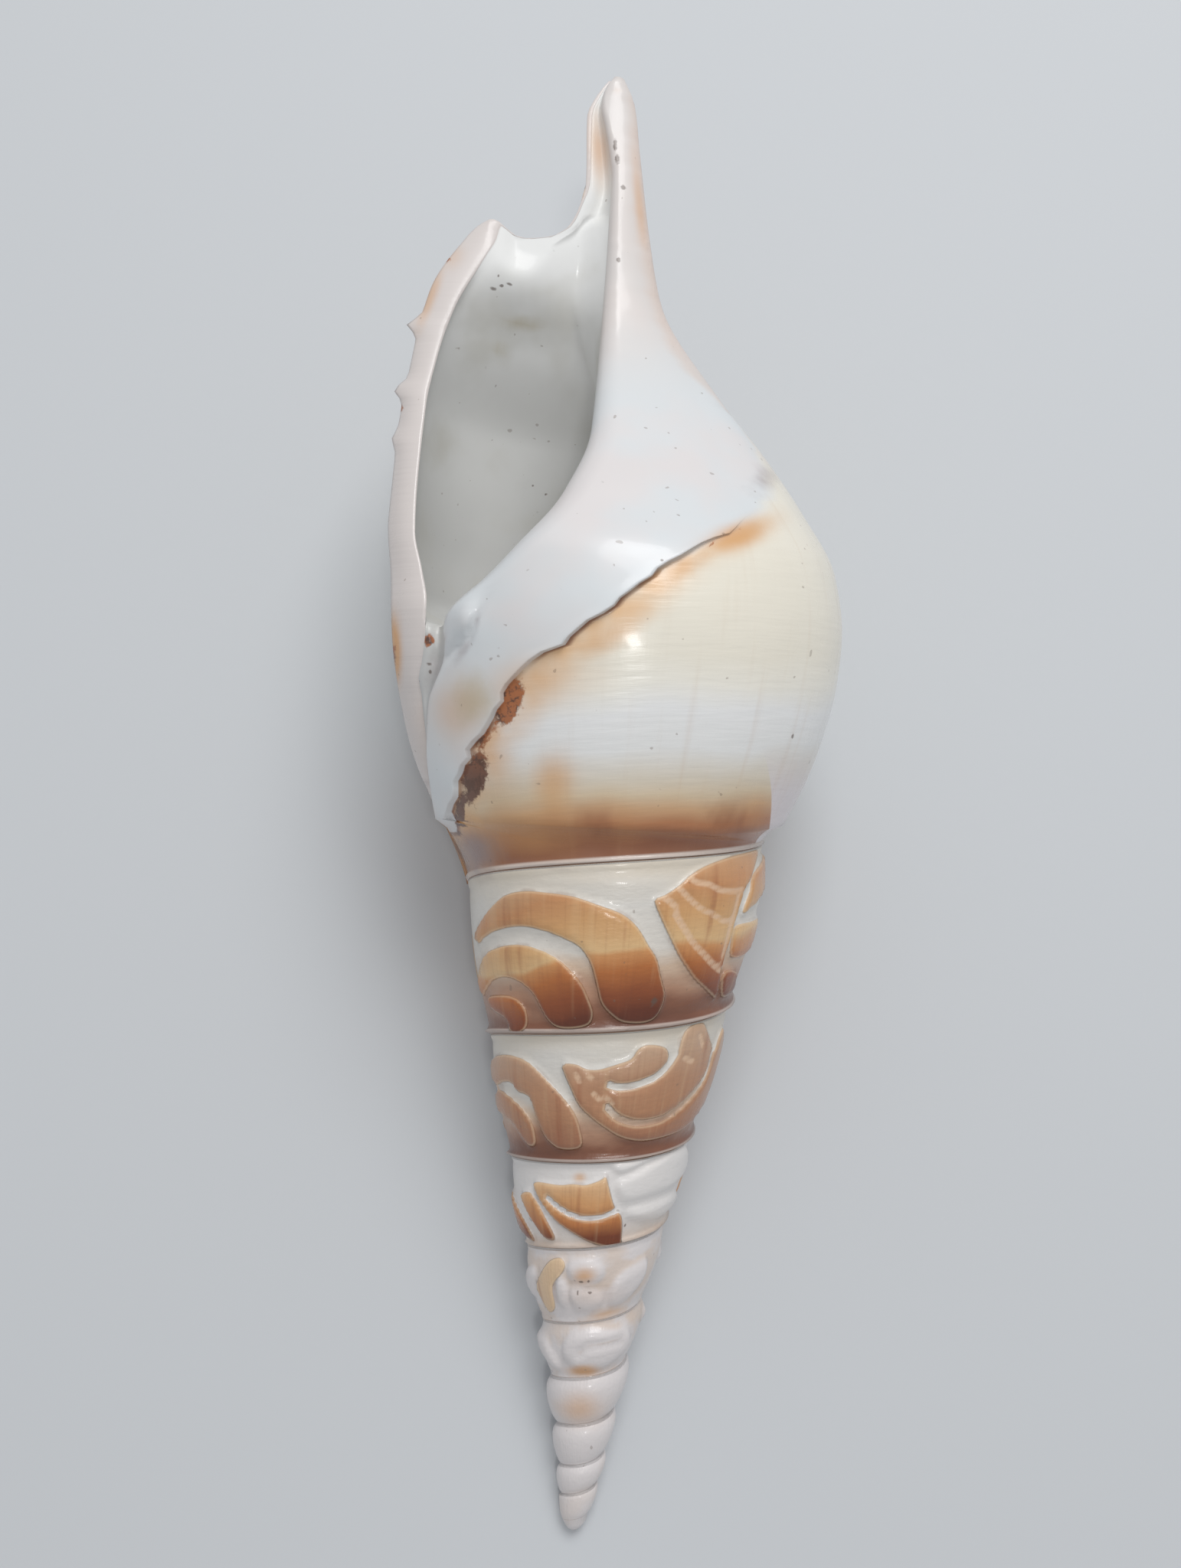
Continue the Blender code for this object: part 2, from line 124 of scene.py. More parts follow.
# The columella's edge, which is the mouth's right side, and below it the left edge of the callus flap
COLUMELLA_X = [
    (70.0, -17.3), (71.6, -17.7), (74.9, -18.2), (77.4, -18.5), (79.8, -18.5), (82.2, -18.4),
    (83.9, -17.8), (85.8, -17.1), (87.6, -17.0), (89.0, -17.25), (90.0, -17.1), (91.6, -15.8),
    (93.4, -13.8), (97.4, -10.4), (103.0, -7.0), (110.3, -5.0), (124.0, -4.7), (132.0, -4.6),
    (138.7, -4.6), (141.0, -4.95), (144.1, -5.6), (146.7, -6.2), (148.4, -6.0), (150.0, -4.9),
]
# How far the columella's edge is rounded over
COLUMELLA_ROUNDING = [
    (70.0, 0.5), (84.0, 0.9), (89.0, 1.4), (95.0, 2.6), (110.0, 2.8), (124.0, 2.0), (136.0, 1.1),
    (146.0, 0.6), (150.0, 0.2),
]
# The inner margin of the outer lip: its place across, and its height above the coil axis
LIP_INNER_X = [
    (70.0, -17.6), (72.0, -18.1), (74.6, -18.6), (77.1, -19.1), (80.5, -19.6), (83.0, -19.9),
    (84.2, -20.2), (86.0, -19.9), (88.4, -19.7), (91.5, -19.7), (95.0, -20.5), (99.0, -21.6),
    (106.0, -21.95), (112.7, -21.9), (118.5, -21.2), (124.0, -19.8), (128.2, -17.9), (131.8, -16.4),
    (134.0, -16.0), (135.6, -8.6), (138.7, -6.9), (146.0, -7.1), (148.4, -6.2), (150.0, -5.2),
]
LIP_INNER_Z = [
    (70.0, 2.0), (73.2, 4.6), (79.0, 7.8), (84.0, 9.8), (88.0, 11.2), (91.0, 11.5), (95.0, 10.2),
    (105.8, 6.8), (118.7, 3.4), (130.0, 1.9), (138.0, 0.6), (150.0, 0.2),
]
# The lip's outer edge lies at this share of the margin's height
LIP_OUTER_SHARE = 0.75
# Teeth on the lip's outer edge: height, how far each stands out, and its half width
LIP_TEETH = [(121.8, 1.3, 0.8), (114.6, 1.1, 0.9), (109.2, 0.5, 0.9)]
# The callus covers the front to the left of this line and stands up from the whorl
CALLUS_EDGE_X = [
    (70.0, -17.0), (71.0, -16.5), (71.8, -16.1), (73.0, -15.7), (74.6, -15.3), (76.1, -14.9), (76.9, -14.3),
    (78.1, -14.05), (78.9, -13.3), (80.4, -12.2), (81.7, -11.7), (83.3, -11.0), (84.3, -10.3), (85.4, -9.4),
    (86.0, -8.4), (86.6, -7.4), (87.1, -6.3), (88.1, -5.5), (89.0, -4.4), (90.4, -2.55), (91.9, -0.9),
    (93.4, 0.65), (94.6, 2.0), (96.2, 3.95), (97.5, 5.7), (98.6, 7.7), (100.1, 9.3), (105.2, 12.4),
    (112.0, 11.0), (120.0, 2.5), (130.0, -1.2), (150.0, -3.9),
]
# Its edge is ragged: (wavelength along the axis, reach)
CALLUS_RAGS = [(2.9, 0.16), (1.7, 0.1)]
CALLUS_THICKNESS = 0.65
# It thins out to nothing between these heights
CALLUS_FADE = (95.5, 101.5)
# The ledge at its edge drops to the whorl over this width, worked out as an angle for a half width of at
# least the second value. Beside the ledge the callus is thicker by LEDGE_SWELL, within LEDGE_SWELL_WIDTH.
LEDGE_WIDTH, LEDGE_LEAST_HALF = 0.16, 4.0
LEDGE_SWELL, LEDGE_SWELL_WIDTH = 0.15, 0.9
# What is placed across the front stays within this share of the half width
SIDE_LIMIT = 0.995
# A smooth knob on the callus at the rear of the mouth, and the furrow that parts it from the flap, as
# places (across, height), with their half widths and how far they stand out or lie deep. The furrow gets
# shallower by FURROW_FADE along its way.
KNOB_PLACE, KNOB_HALF_WIDTHS, KNOB_HEIGHT = (-15.6, 89.7), (1.3, 1.8), 1.1
FURROW = [(-17.4, 86.2), (-14.9, 88.0), (-13.8, 91.2)]
FURROW_HALF_WIDTH, FURROW_DEPTH, FURROW_FADE = 0.4, 0.8, 0.8

# The mouth. A wall stays round its hollow, which is never narrower than this share of the whorl.
WALL = 2.0
LEAST_HOLLOW = 0.4
# The rim's crown stands this far up, less where the margin is lower than CROWN_FULL, and this far out
CROWN_UP, CROWN_FULL, CROWN_OUT = 0.35, 4.0, 0.1
# Towards the canal and the apex the mouth is a groove between the lip and the columella, this deep
GROOVE_DEPTH = [
    (70.0, 0.1), (74.0, 0.2), (79.0, 0.5), (84.0, 1.0), (90.0, 1.7), (118.0, 4.6), (126.0, 3.2),
    (131.0, 1.9), (134.5, 1.3), (139.0, 1.2), (143.0, 0.9), (146.7, 0.4), (150.0, 0.1),
]
# The groove is deepest near the columella: the power that its sine's place is raised to
GROOVE_LEAN = 1.9
# It is never deeper than the first of these plus the second for each mm of its width
GROOVE_LEAST, GROOVE_PER_WIDTH = 0.2, 1.6
# How far the hollow takes the groove's place, and how far it reaches under the whorl past the columella
HOLLOW_SHARE = [(89.4, 0.0), (94.5, 1.0), (114.0, 1.0), (122.0, 0.6), (129.0, 0.12), (135.0, 0.0)]
UNDERCUT = [(90.0, 5.0), (98.0, 11.0), (106.0, 8.0), (114.0, 3.0), (124.0, 0.8), (134.0, 0.0)]
# That is at most this share of the half width from the middle
UNDERCUT_LIMIT = 0.9
# The septum bends past the columella by this many mm, at this share of the hollow's depth
SEPTUM_BEND, SEPTUM_BEND_DEPTH = 0.6, 0.35
# How far the front edge of the lip sags between its corner and the canal, by its place across
BAY_SAG = [
    (-17.0, 0.0), (-16.3, 0.3), (-15.5, 1.0), (-14.3, 1.9), (-12.6, 2.3), (-10.7, 2.3), (-9.2, 1.8),
    (-8.1, 1.3), (-7.2, 0.3), (-6.4, 0.0),
]
# In the bay the wall runs straight out to its edge, which lies this high. How fully, by its place across.
BAY_EDGE_Z = 0.1
BAY_SHARE = [
    (-17.0, 0.0), (-15.5, 0.4), (-14.0, 1.0), (-10.0, 1.0), (-8.6, 0.9), (-7.2, 0.6), (-6.0, 0.2),
    (-4.8, 0.0),
]
# The heights between which that sets in and ends, the same for the sag, and those of the closest levels
BAY_LOW_FROM, BAY_LOW_UNTIL = (129.0, 133.5), (134.5, 143.0)
BAY_RISE, BAY_FALL = (122.0, 133.5), (135.8, 139.5)
BAY_FULL = (132.8, 137.0)

# The carving. Its maker left parts of the brown outer layer standing on a white ground. Each whorl has
# closed outlines of what stands, brown or white, and lines cut through it or only scratched in, with their
# half width in mm. All are in pixels of the photo, read where they show.
FIRST_WHORL = {
    "turn": 1,
    "standing": [
        [(621, 1222), (628, 1203), (643, 1182), (659, 1169), (683, 1164), (712, 1166), (747, 1171),
         (780, 1182), (812, 1194), (832, 1211), (847, 1236), (857, 1252), (863, 1276), (869, 1302),
         (860, 1326), (844, 1336), (815, 1336), (799, 1327), (785, 1311), (779, 1288), (774, 1267),
         (768, 1252), (756, 1236), (735, 1225), (712, 1216), (683, 1210), (656, 1213), (636, 1222),
         (626, 1232)],
        [(628, 1264), (634, 1248), (650, 1238), (677, 1234), (703, 1240), (727, 1252), (744, 1267),
         (759, 1285), (769, 1307), (774, 1324), (768, 1339), (744, 1344), (724, 1341), (712, 1330),
         (703, 1313), (696, 1299), (686, 1288), (674, 1280), (659, 1276), (645, 1280), (636, 1291),
         (630, 1300), (626, 1282)],
        [(637, 1303), (650, 1300), (668, 1302), (681, 1312), (687, 1327), (685, 1344), (675, 1350),
         (665, 1345), (657, 1330), (640, 1317)],
        [(855, 1176), (864, 1202), (875, 1226), (886, 1249), (900, 1270), (909, 1281), (918, 1289),
         (929, 1299), (937, 1303), (941, 1273), (944, 1254), (951, 1230), (959, 1203), (966, 1182),
         (973, 1162), (980, 1150), (988, 1130), (994, 1111), (975, 1115), (952, 1121), (925, 1131),
         (904, 1143), (888, 1157), (868, 1170)],
        [(985, 1142), (999, 1121), (1009, 1117), (1008, 1142), (995, 1166), (982, 1184), (969, 1192),
         (979, 1166)],
        [(959, 1210), (979, 1204), (988, 1200), (984, 1225), (974, 1245), (958, 1251), (952, 1245),
         (954, 1226)],
        [(945, 1270), (962, 1270), (958, 1294), (944, 1302)],
    ],
    "incised": [
        (0.3, [(881, 1194), (893, 1214), (904, 1232), (917, 1246), (929, 1259), (939, 1267)]),
        (0.26, [(886, 1159), (901, 1175), (915, 1187), (928, 1193), (942, 1202), (955, 1203)]),
        (0.26, [(901, 1144), (909, 1152), (926, 1155), (939, 1162), (955, 1164), (969, 1162)]),
        (0.28, [(856, 1172), (866, 1172), (875, 1178), (883, 1186)]),
        (0.24, [(963, 1170), (959, 1186), (952, 1207), (946, 1230), (941, 1250)]),
    ],
}
SECOND_WHORL = {
    "turn": 2,
    "standing": [
        [(639, 1395), (642, 1384), (652, 1378), (668, 1379), (686, 1386), (701, 1398), (717, 1414),
         (735, 1433), (748, 1450), (755, 1466), (759, 1484), (760, 1495), (753, 1501), (735, 1502),
         (722, 1497), (710, 1484), (704, 1468), (699, 1453), (694, 1437), (687, 1429), (676, 1425),
         (668, 1414), (658, 1413), (649, 1417), (643, 1408)],
        [(650, 1424), (661, 1428), (677, 1442), (688, 1455), (695, 1468), (698, 1484), (697, 1496),
         (688, 1496), (679, 1484), (670, 1468), (659, 1457), (652, 1448)],
        [(734, 1390), (753, 1391), (766, 1397), (784, 1397), (804, 1391), (824, 1384), (833, 1372),
         (844, 1366), (860, 1366), (872, 1371), (875, 1384), (886, 1374), (892, 1357), (902, 1343),
         (916, 1337), (924, 1339), (928, 1355), (932, 1374), (940, 1354), (946, 1343), (943, 1370),
         (936, 1397), (922, 1433), (911, 1455), (896, 1473), (867, 1486), (838, 1491), (811, 1486),
         (789, 1473), (771, 1459), (755, 1442), (744, 1419), (736, 1401)],
    ],
    "lines": [
        (0.36, [(796, 1417), (811, 1420), (833, 1416), (855, 1407), (871, 1393), (883, 1376)]),
        (0.34, [(793, 1446), (804, 1458), (824, 1466), (847, 1466), (873, 1456), (900, 1432), (919, 1405),
         (929, 1374)]),
    ],
    "incised": [
        (0.24, [(752, 1403), (757, 1412)]),
        (0.24, [(768, 1404), (773, 1409)]),
        (0.24, [(775, 1428), (783, 1436)]),
        (0.24, [(790, 1432), (799, 1441)]),
        (0.26, [(893, 1382), (903, 1386)]),
        (0.2, [(915, 1352), (917, 1366)]),
    ],
}
THIRD_WHORL = {
    "turn": 3,
    "standing": [
        [(696, 1548), (702, 1544), (730, 1548), (747, 1547), (766, 1548), (786, 1541), (791, 1537),
         (795, 1550), (800, 1570), (805, 1581), (812, 1592), (812, 1624), (800, 1630), (771, 1624),
         (752, 1614), (732, 1600), (722, 1590), (712, 1577), (703, 1563)],
        [(681, 1560), (691, 1557), (699, 1566), (706, 1577), (714, 1594), (723, 1616), (719, 1621),
         (708, 1616), (696, 1596), (686, 1575)],
        [(666, 1555), (677, 1577), (689, 1604), (695, 1621), (686, 1617), (677, 1597), (670, 1577)],
    ],
    "white": [
        [(800, 1514), (826, 1501), (858, 1493), (860, 1508), (834, 1524), (808, 1532)],
        [(806, 1546), (832, 1534), (866, 1514), (896, 1492), (902, 1520), (880, 1546), (846, 1562),
         (814, 1568)],
        [(818, 1584), (848, 1574), (880, 1558), (890, 1566), (868, 1586), (838, 1594)],
    ],
    "lines": [
        (0.27, [(715, 1564), (730, 1577), (747, 1587), (766, 1591), (786, 1589), (808, 1580)]),
    ],
}
FOURTH_WHORL = {
    "turn": 4,
    "standing": [
        [(717, 1647), (731, 1644), (738, 1655), (730, 1668), (722, 1681), (724, 1708), (715, 1714),
         (708, 1699), (702, 1681), (707, 1663)],
    ],
    "white": [
        [(742, 1652), (760, 1647), (781, 1651), (788, 1664), (776, 1675), (757, 1674), (744, 1667)],
        [(744, 1688), (760, 1684), (781, 1690), (786, 1702), (770, 1712), (751, 1708)],
        [(797, 1702), (799, 1681), (812, 1664), (830, 1652), (843, 1646), (840, 1665), (828, 1686),
         (812, 1700)],
        [(728, 1672), (737, 1674), (742, 1692), (737, 1706), (729, 1698)],
        [(690, 1660), (698, 1656), (700, 1672), (698, 1690), (691, 1680)],
    ],
}
FIFTH_WHORL = {
    "turn": 5,
    "white": [
        [(735, 1766), (742, 1747), (764, 1738), (795, 1739), (818, 1738), (819, 1757), (805, 1775),
         (786, 1787), (759, 1790), (744, 1781)],
        [(702, 1737), (712, 1747), (722, 1768), (730, 1784), (722, 1786), (710, 1766), (703, 1752)],
    ],
    "lines": [
        (0.2, [(755, 1768), (770, 1757), (790, 1754), (808, 1748)]),
    ],
}
CARVING = [FIRST_WHORL, SECOND_WHORL, THIRD_WHORL, FOURTH_WHORL, FIFTH_WHORL]
# Steps between two points of an outline or a line
OUTLINE_STEPS = 4
# Distances to an edge are given up to this many mm
FAR = 3.0
# How deep the ground lies and half the width of its slope, then the same for the fine scratched lines, and
# for the white shapes, which swell out
CARVED_DEPTH, CARVED_SLOPE = 0.42, 0.26
INCISED_DEPTH, INCISED_SLOPE = 0.16, 0.3
WHITE_SWELL, WHITE_SLOPE = 0.45, 0.4
# The carving starts and ends in these turns, counted towards the apex, gets shallower there, and stays
# clear of the seams by these shares of a whorl's width
CARVED_FROM, CARVED_UNTIL = (-0.2, 0.0), (4.95, 5.3)
SHALLOWER_FROM, SHALLOWER = (3.1, 3.6), 0.3
CLEAR_BELOW, CLEAR_ABOVE = (0.0, 0.07), (0.93, 1.0)
# The same motifs were cut again round the back, this many turns further on
REPEATS = (0.0, 0.5)

# Patches of colour in the shell, and dirt on it, as (x, y, half width, half height, tilt in degrees,
# strength). They are read in pixels of the photo, and each shows on the outside or in the mouth.
STAINS = {
    "ochre": {
        "outside": [
            (705, 890, 85, 42, -12, 0.62), (790, 838, 80, 22, -33, 0.5), (722, 1022, 34, 42, 0, 0.66),
            (650, 1010, 40, 60, -20, 0.4), (966, 698, 52, 19, -22, 0.95), (900, 738, 60, 16, -35, 0.5),
            (602, 926, 44, 56, 20, 0.62), (834, 262, 8, 70, -6, 0.5), (779, 185, 16, 60, -6, 0.55),
            (806, 118, 9, 7, 0, 0.3), (690, 1090, 90, 40, 0, 0.5), (511, 856, 12, 46, 0, 1.6),
            (590, 335, 18, 20, 40, 0.4), (560, 392, 10, 50, 20, 0.6), (757, 1538, 10, 7, 0, 0.7),
            (762, 1790, 22, 7, 0, 1.0), (790, 1716, 34, 6, -14, 0.6), (758, 1840, 34, 24, 0, 0.6),
            (763, 1667, 18, 12, -10, 0.75), (775, 1692, 60, 26, 0, 0.3), (985, 1060, 24, 30, 0, 0.35),
            (815, 1085, 26, 34, 0, 0.3),
        ],
        "mouth": [(780, 190, 20, 62, -6, 0.55)],
    },
    "olive": {
        "outside": [(618, 914, 30, 36, 20, 0.8)],
        "mouth": [(680, 422, 34, 12, 10, 0.7), (652, 455, 12, 10, 0, 0.6)],
    },
    "brown": {
        "outside": [
            (664, 918, 16, 33, 24, 1.3), (620, 1014, 15, 34, 14, 1.3), (600, 1064, 8, 30, 6, 1.0),
            (630, 962, 9, 18, 30, 0.9), (952, 693, 22, 5, -22, 0.8), (930, 708, 10, 4, -30, 0.7),
            (513, 858, 6, 20, 0, 0.75), (533, 447, 5, 22, 0, 0.9), (523, 532, 4, 12, 0, 0.6),
            (584, 340, 6, 3, -40, 0.7),
        ],
        "mouth": [(560, 836, 8, 9, 0, 1.1)],
    },
    # Grey is wear, and in the furrow and beside the knob it is painted shade
    "grey": {
        "outside": [
            (1000, 624, 20, 20, 40, 0.6), (985, 642, 26, 8, 30, 0.35), (618, 1112, 36, 36, 0, 0.95),
            (556, 1026, 6, 8, 0, 0.7), (606, 848, 26, 8, -56, 0.6), (623, 808, 5, 16, 0, 0.5),
            (700, 1130, 80, 8, 8, 0.3),
        ],
        "mouth": [(570, 880, 22, 40, 0, 0.5), (700, 640, 50, 40, 0, 0.15)],
    },
}
# Small dark specks, as (x, y, half width, half length along the shell), the last two in mm
SPECKS = [
    (800, 188, 0.24, 0.75), (809, 203, 0.34, 0.5), (820, 240, 0.3, 0.26), (811, 336, 0.26, 0.3),
    (649, 366, 0.12, 0.3), (646, 384, 0.4, 0.14), (657, 379, 0.26, 0.14), (669, 374, 0.34, 0.12),
    (556, 868, 0.3, 0.2), (557, 884, 0.16, 0.3), (1040, 962, 0.2, 0.3), (868, 735, 0.2, 0.16),
    (859, 1312, 0.4, 0.5), (748, 1688, 0.12, 0.4), (756, 1682, 0.3, 0.14), (761, 1676, 0.14, 0.3),
    (776, 1690, 0.24, 0.14), (822, 1604, 0.12, 0.5), (700, 640, 0.14, 0.14), (712, 652, 0.12, 0.16),
]
# A speck sits on a point of the mesh that shows this close to its pixel
SPECK_SEARCH_PX = 8
# How often a ray's stretch is halved to find where it meets the cone
HALVINGS = 30

# Colours as they show on a screen, 0 to 255. First the standing layer's on the first three whorls, and the
# carved ground's on the first two and on the third, by the share of a whorl's width above its seam.
LAYER_COLOURS = [
    [
        (0.0, (88, 44, 28)), (0.12, (102, 50, 30)), (0.24, (142, 76, 42)), (0.36, (182, 110, 58)),
        (0.47, (208, 148, 94)), (0.51, (222, 184, 134)), (0.68, (211, 162, 110)), (0.85, (200, 144, 98)),
        (1.0, (206, 164, 124)),
    ],
    [
        (0.0, (128, 82, 68)), (0.25, (158, 108, 82)), (0.5, (182, 132, 98)), (0.75, (186, 140, 108)),
        (1.0, (198, 164, 136)),
    ],
    [
        (0.0, (92, 44, 22)), (0.26, (122, 60, 30)), (0.45, (190, 122, 70)), (0.7, (214, 160, 108)),
        (1.0, (224, 190, 150)),
    ],
]
GROUND_COLOURS = [
    [
        (0.0, (112, 72, 56)), (0.12, (136, 90, 68)), (0.24, (180, 138, 112)), (0.38, (210, 184, 160)),
        (0.52, (221, 215, 206)), (0.75, (220, 216, 209)), (1.0, (216, 206, 190)),
    ],
    [(0.0, (216, 194, 176)), (0.14, (226, 216, 208)), (0.34, (229, 225, 222))],
]
# The last whorl's bands, by mm above its seam
BANDS_REACH = 30.0
BAND_COLOURS = [
    (0.0, (156, 108, 84)), (1.35, (150, 96, 68)), (3.3, (176, 120, 82)), (4.65, (204, 165, 126)),
    (6.0, (215, 195, 166)), (7.5, (219, 209, 192)), (10.2, (232, 232, 230)), (13.5, (236, 236, 235)),
    (15.9, (239, 235, 224)), (18.6, (236, 230, 215)), (30.0, (236, 230, 215)),
]
# Colours that are laid over others
COLOURS = {
    "fourth layer": (222, 192, 158), "red streaks": (150, 82, 52), "pale streaks": (232, 204, 160),
    "fine brown lines": (120, 70, 48), "scratches": (230, 196, 164), "top edge": (236, 212, 178),
    # The seam's dark colour is painted shade in its groove
    "upper ground": (223, 217, 216), "thread": (216, 200, 190), "painted shade in the seam": (140, 112, 94),
    # A patchy darker colour lies along the foot of each cut
    "tan in the hollows": (212, 178, 140), "dark at the foot of a cut": (140, 104, 84),
    "tan at the tip": (214, 182, 150), "blotches": (142, 88, 58), "past the growth line": (222, 216, 220),
    "last thread": (220, 206, 196), "fine tan lines": (190, 150, 112), "glow": (230, 178, 120),
    # The dark line under the callus's ledge is partly a real brown line and partly painted shadow
    "crack_and_shadow": (126, 72, 46),
    "bluish callus": (220, 224, 226), "pinkish callus": (226, 221, 220), "canal": (222, 212, 206),
    "pits": (160, 154, 150), "tinge along the canal": (216, 176, 146), "rim": (218, 210, 206),
    # The mouth's deeper colour is painted shade
    "front of the mouth": (236, 236, 234), "painted shade deep in the mouth": (204, 204, 202),
    "clouds in the mouth": (200, 197, 186), "pits in the mouth": (150, 146, 140), "ochre": (216, 160, 98),
    "olive": (186, 172, 136), "grey": (146, 130, 130), "low crust": (104, 66, 52),
    "high crust": (168, 98, 52), "dark crust": (84, 48, 34), "specks": (98, 82, 72), "dust": (120, 100, 86),
}
# Where the colours change, each as (0 there, 1 there). First on the spire, by turns, counted towards the
# apex: the standing layer's next colours, those of the ground, the seam's thread and the tan spots. The
# thread's width is a share of the whorl's.
SECOND_LAYER, THIRD_LAYER, FOURTH_LAYER = (-1.1, -1.5), (-2.1, -2.5), (-3.1, -3.5)
WHITE_GROUND, UPPER_GROUND = (-1.95, -2.3), (-2.9, -3.1)
THREAD_UNTIL, THREAD_WIDTH = (-2.9, -2.7), (0.036, 0.024)
TAN_HOLLOWS_UNTIL, TAN_TIP = (-5.0, -4.8), (-4.2, -4.5)
# Past these turns the layer's colours lie lower, by this share of the whorl's width
LAYER_DIPS, LAYER_DIP = (-0.765, -0.87), 0.14
# The growth line that ends the last whorl's bands: its turn at the seam, how much of a turn earlier it
# comes for each mm above it, where the white past it ends, and below what height it shows
BANDS_END, BANDS_END_LEAN = (0.4345, 0.4365), 0.0068
BANDS_END_PAST, BANDS_END_BELOW = (0.62, 0.48), (11.0, 5.0)
# By mm above the last seam
BLOTCHES_BELOW, LAST_THREAD_BELOW = (6.5, 2.5), (0.6, 0.32)
# The dark line at the ledge's foot, here and beside the callus below, is partly painted shadow
GLOW_BELOW, CRACK_AND_SHADOW_BELOW = (33.0, 26.0), (29.0, 24.0)
CALLUS_SOFT_ABOVE, CALLUS_SOFT = (25.0, 31.0), 1.8
# The last pair: the mouth turns greyer further in, as painted shade, from the first height to the second
CANAL_ABOVE, CANAL_COLOUR_ABOVE, MOUTH_SHADE_BELOW = (36.0, 44.0), (42.0, 60.0), (54.0, 18.0)
HIGH_CRUST_ABOVE = (8.0, 13.0)
# By mm from the callus's edge, less than 0 off the callus
# The second pair places the dark line at the ledge's foot, which is partly painted shadow
GLOW_BESIDE, CRACK_AND_SHADOW_BESIDE = (-6.5, -0.9), (-1.15, -0.8)
CALLUS_COLOUR_EDGE, CANAL_BESIDE, TINGE_BESIDE = (-0.7, -0.55), (-6.0, -3.0), (0.6, -1.8)
CRUST_BESIDE, GROWTH_BESIDE = (-0.5, -0.7), (-0.2, -1.6)
# By the place across the rim, which is 0 at its outer edge, 1 at its inner one and -1 off the rim
RIM_FROM = (-0.4, -0.1)

POLISHED_ROUGHNESS = 0.17
COAT_WEIGHT, COAT_ROUGHNESS = 0.25, 0.1
# The bump's depth is in mm
BUMP_STRENGTH, BUMP_DEPTH = 0.8, 0.5

# The floor in metres, and the lamps as (name, spot, size, power). They point at LAMPS_AIM.
FLOOR_HALF, FLOOR_COLOUR, FLOOR_ROUGHNESS = 1.2, (0.6, 0.62, 0.64, 1.0), 0.8
LAMPS = [("window", (0.08, 0.3, 0.5), 0.3, 1.8), ("lamp", (0.05, -0.16, 0.58), 0.06, 0.35)]
LAMPS_AIM = (0.0, 0.0, 0.02)
SKY, SKY_STRENGTH = (0.95, 0.97, 1.0, 1.0), 0.44

# How finely the surface is divided
STEPS_PER_TURN = 280
WHORL_ROWS = [8, 8, 9, 11, 14, 18, 25, 32, 40]
# The rows of a whorl crowd towards its seams, the callus's columns towards the columella, and the rings
# above the last seam towards the seam
ROW_CROWDING, CALLUS_CROWDING, SEAM_CROWDING = 0.06, 1.4, 1.8
CALLUS_STEPS, LEDGE_STEPS, RIM_STEPS, HOLLOW_STEPS = 76, 5, 12, 58
HOLLOW_CONTROLS, SEPTUM_CONTROLS = 10, 5
SEAM_ROWS = 14
# The callus is at least this wide, as an angle
LEAST_CALLUS = 0.05
LEVELS_BELOW, LEVELS_AT_BAY, LEVELS_ABOVE = 84, 26, 18
FIRST_LEVEL, LAST_LEVEL = 71.0, 149.8
# The columns are lifted to stay this far above the seam, up to a height, and by less near the lip
LIFT_ABOVE_SEAM, LIFT_ENDS_AT = 2.0, 90.0
LIP_TURNS, LIFT_LOST_AT_LIP = (0.86, 1.0), 0.85
# The rings between the seam and the first level swell out by this power of their place
RING_CURVE = 1.6
# The thread on the last seam: its height, its middle's distance from the seam and its half width
THREAD_HEIGHT, THREAD_PLACE, THREAD_HALF_WIDTH = 0.3, 0.45, 0.3
# The callus flap's low end: its height, how far on it has its full thickness, the line that it lies to
# the left of, and half the width of its slope there
FLAP_END, FLAP_RISE = 70.4, 0.6
FLAP_EDGE_X, FLAP_EDGE_SOFT = -16.4, 0.3
# Each loop starts within half a turn of this turn
LOOPS_START_NEAR = 0.1
# Where the last strip meets the lip's end, the rings take the colour of this height above the seam
CLOSING_ABOVE = 1.5
# The canal's closed tip stands this far past its last loop, and has the canal's colours
TIP_OUT, TIP_ABOVE = 0.2, 80.0


def smooth_line(points):
    """A cubic through (place, value) points whose slope at a point is the harmonic mean beside it."""
    places, values = np.array(points, float).T
    gaps = np.diff(places)
    chords = np.diff(values) / gaps
    slopes = np.concatenate([chords[:1], np.zeros(len(chords) - 1), chords[-1:]])
    same_way = chords[:-1] * chords[1:] > 0
    before, after = np.where(same_way, [chords[:-1], chords[1:]], 1.0)
    weight_before = 2 * gaps[1:] + gaps[:-1]
    weight_after = gaps[1:] + 2 * gaps[:-1]
    mean = (weight_before + weight_after) / (weight_before / before + weight_after / after)
    slopes[1:-1] = np.where(same_way, mean, 0.0)

    def value(place):
        place = np.clip(place, places[0], places[-1])
        i = np.clip(np.searchsorted(places, place) - 1, 0, len(gaps) - 1)
        s = (place - places[i]) / gaps[i]
        start = values[i] * (1 + 2 * s) + slopes[i] * gaps[i] * s
        end = values[i + 1] * (3 - 2 * s) + slopes[i + 1] * gaps[i] * (s - 1)
        return start * (1 - s) ** 2 + end * s * s

    return value


def eased(low, high, value):
    """0 below low, 1 above high, and 3s² − 2s³ between them."""
    s = np.clip((value - low) / (high - low), 0.0, 1.0)
    return s * s * (3 - 2 * s)


def bell(value, middle, half_width):
    """exp(−((value − middle) / half_width)²)."""
    return np.exp(-(((value - middle) / half_width) ** 2))


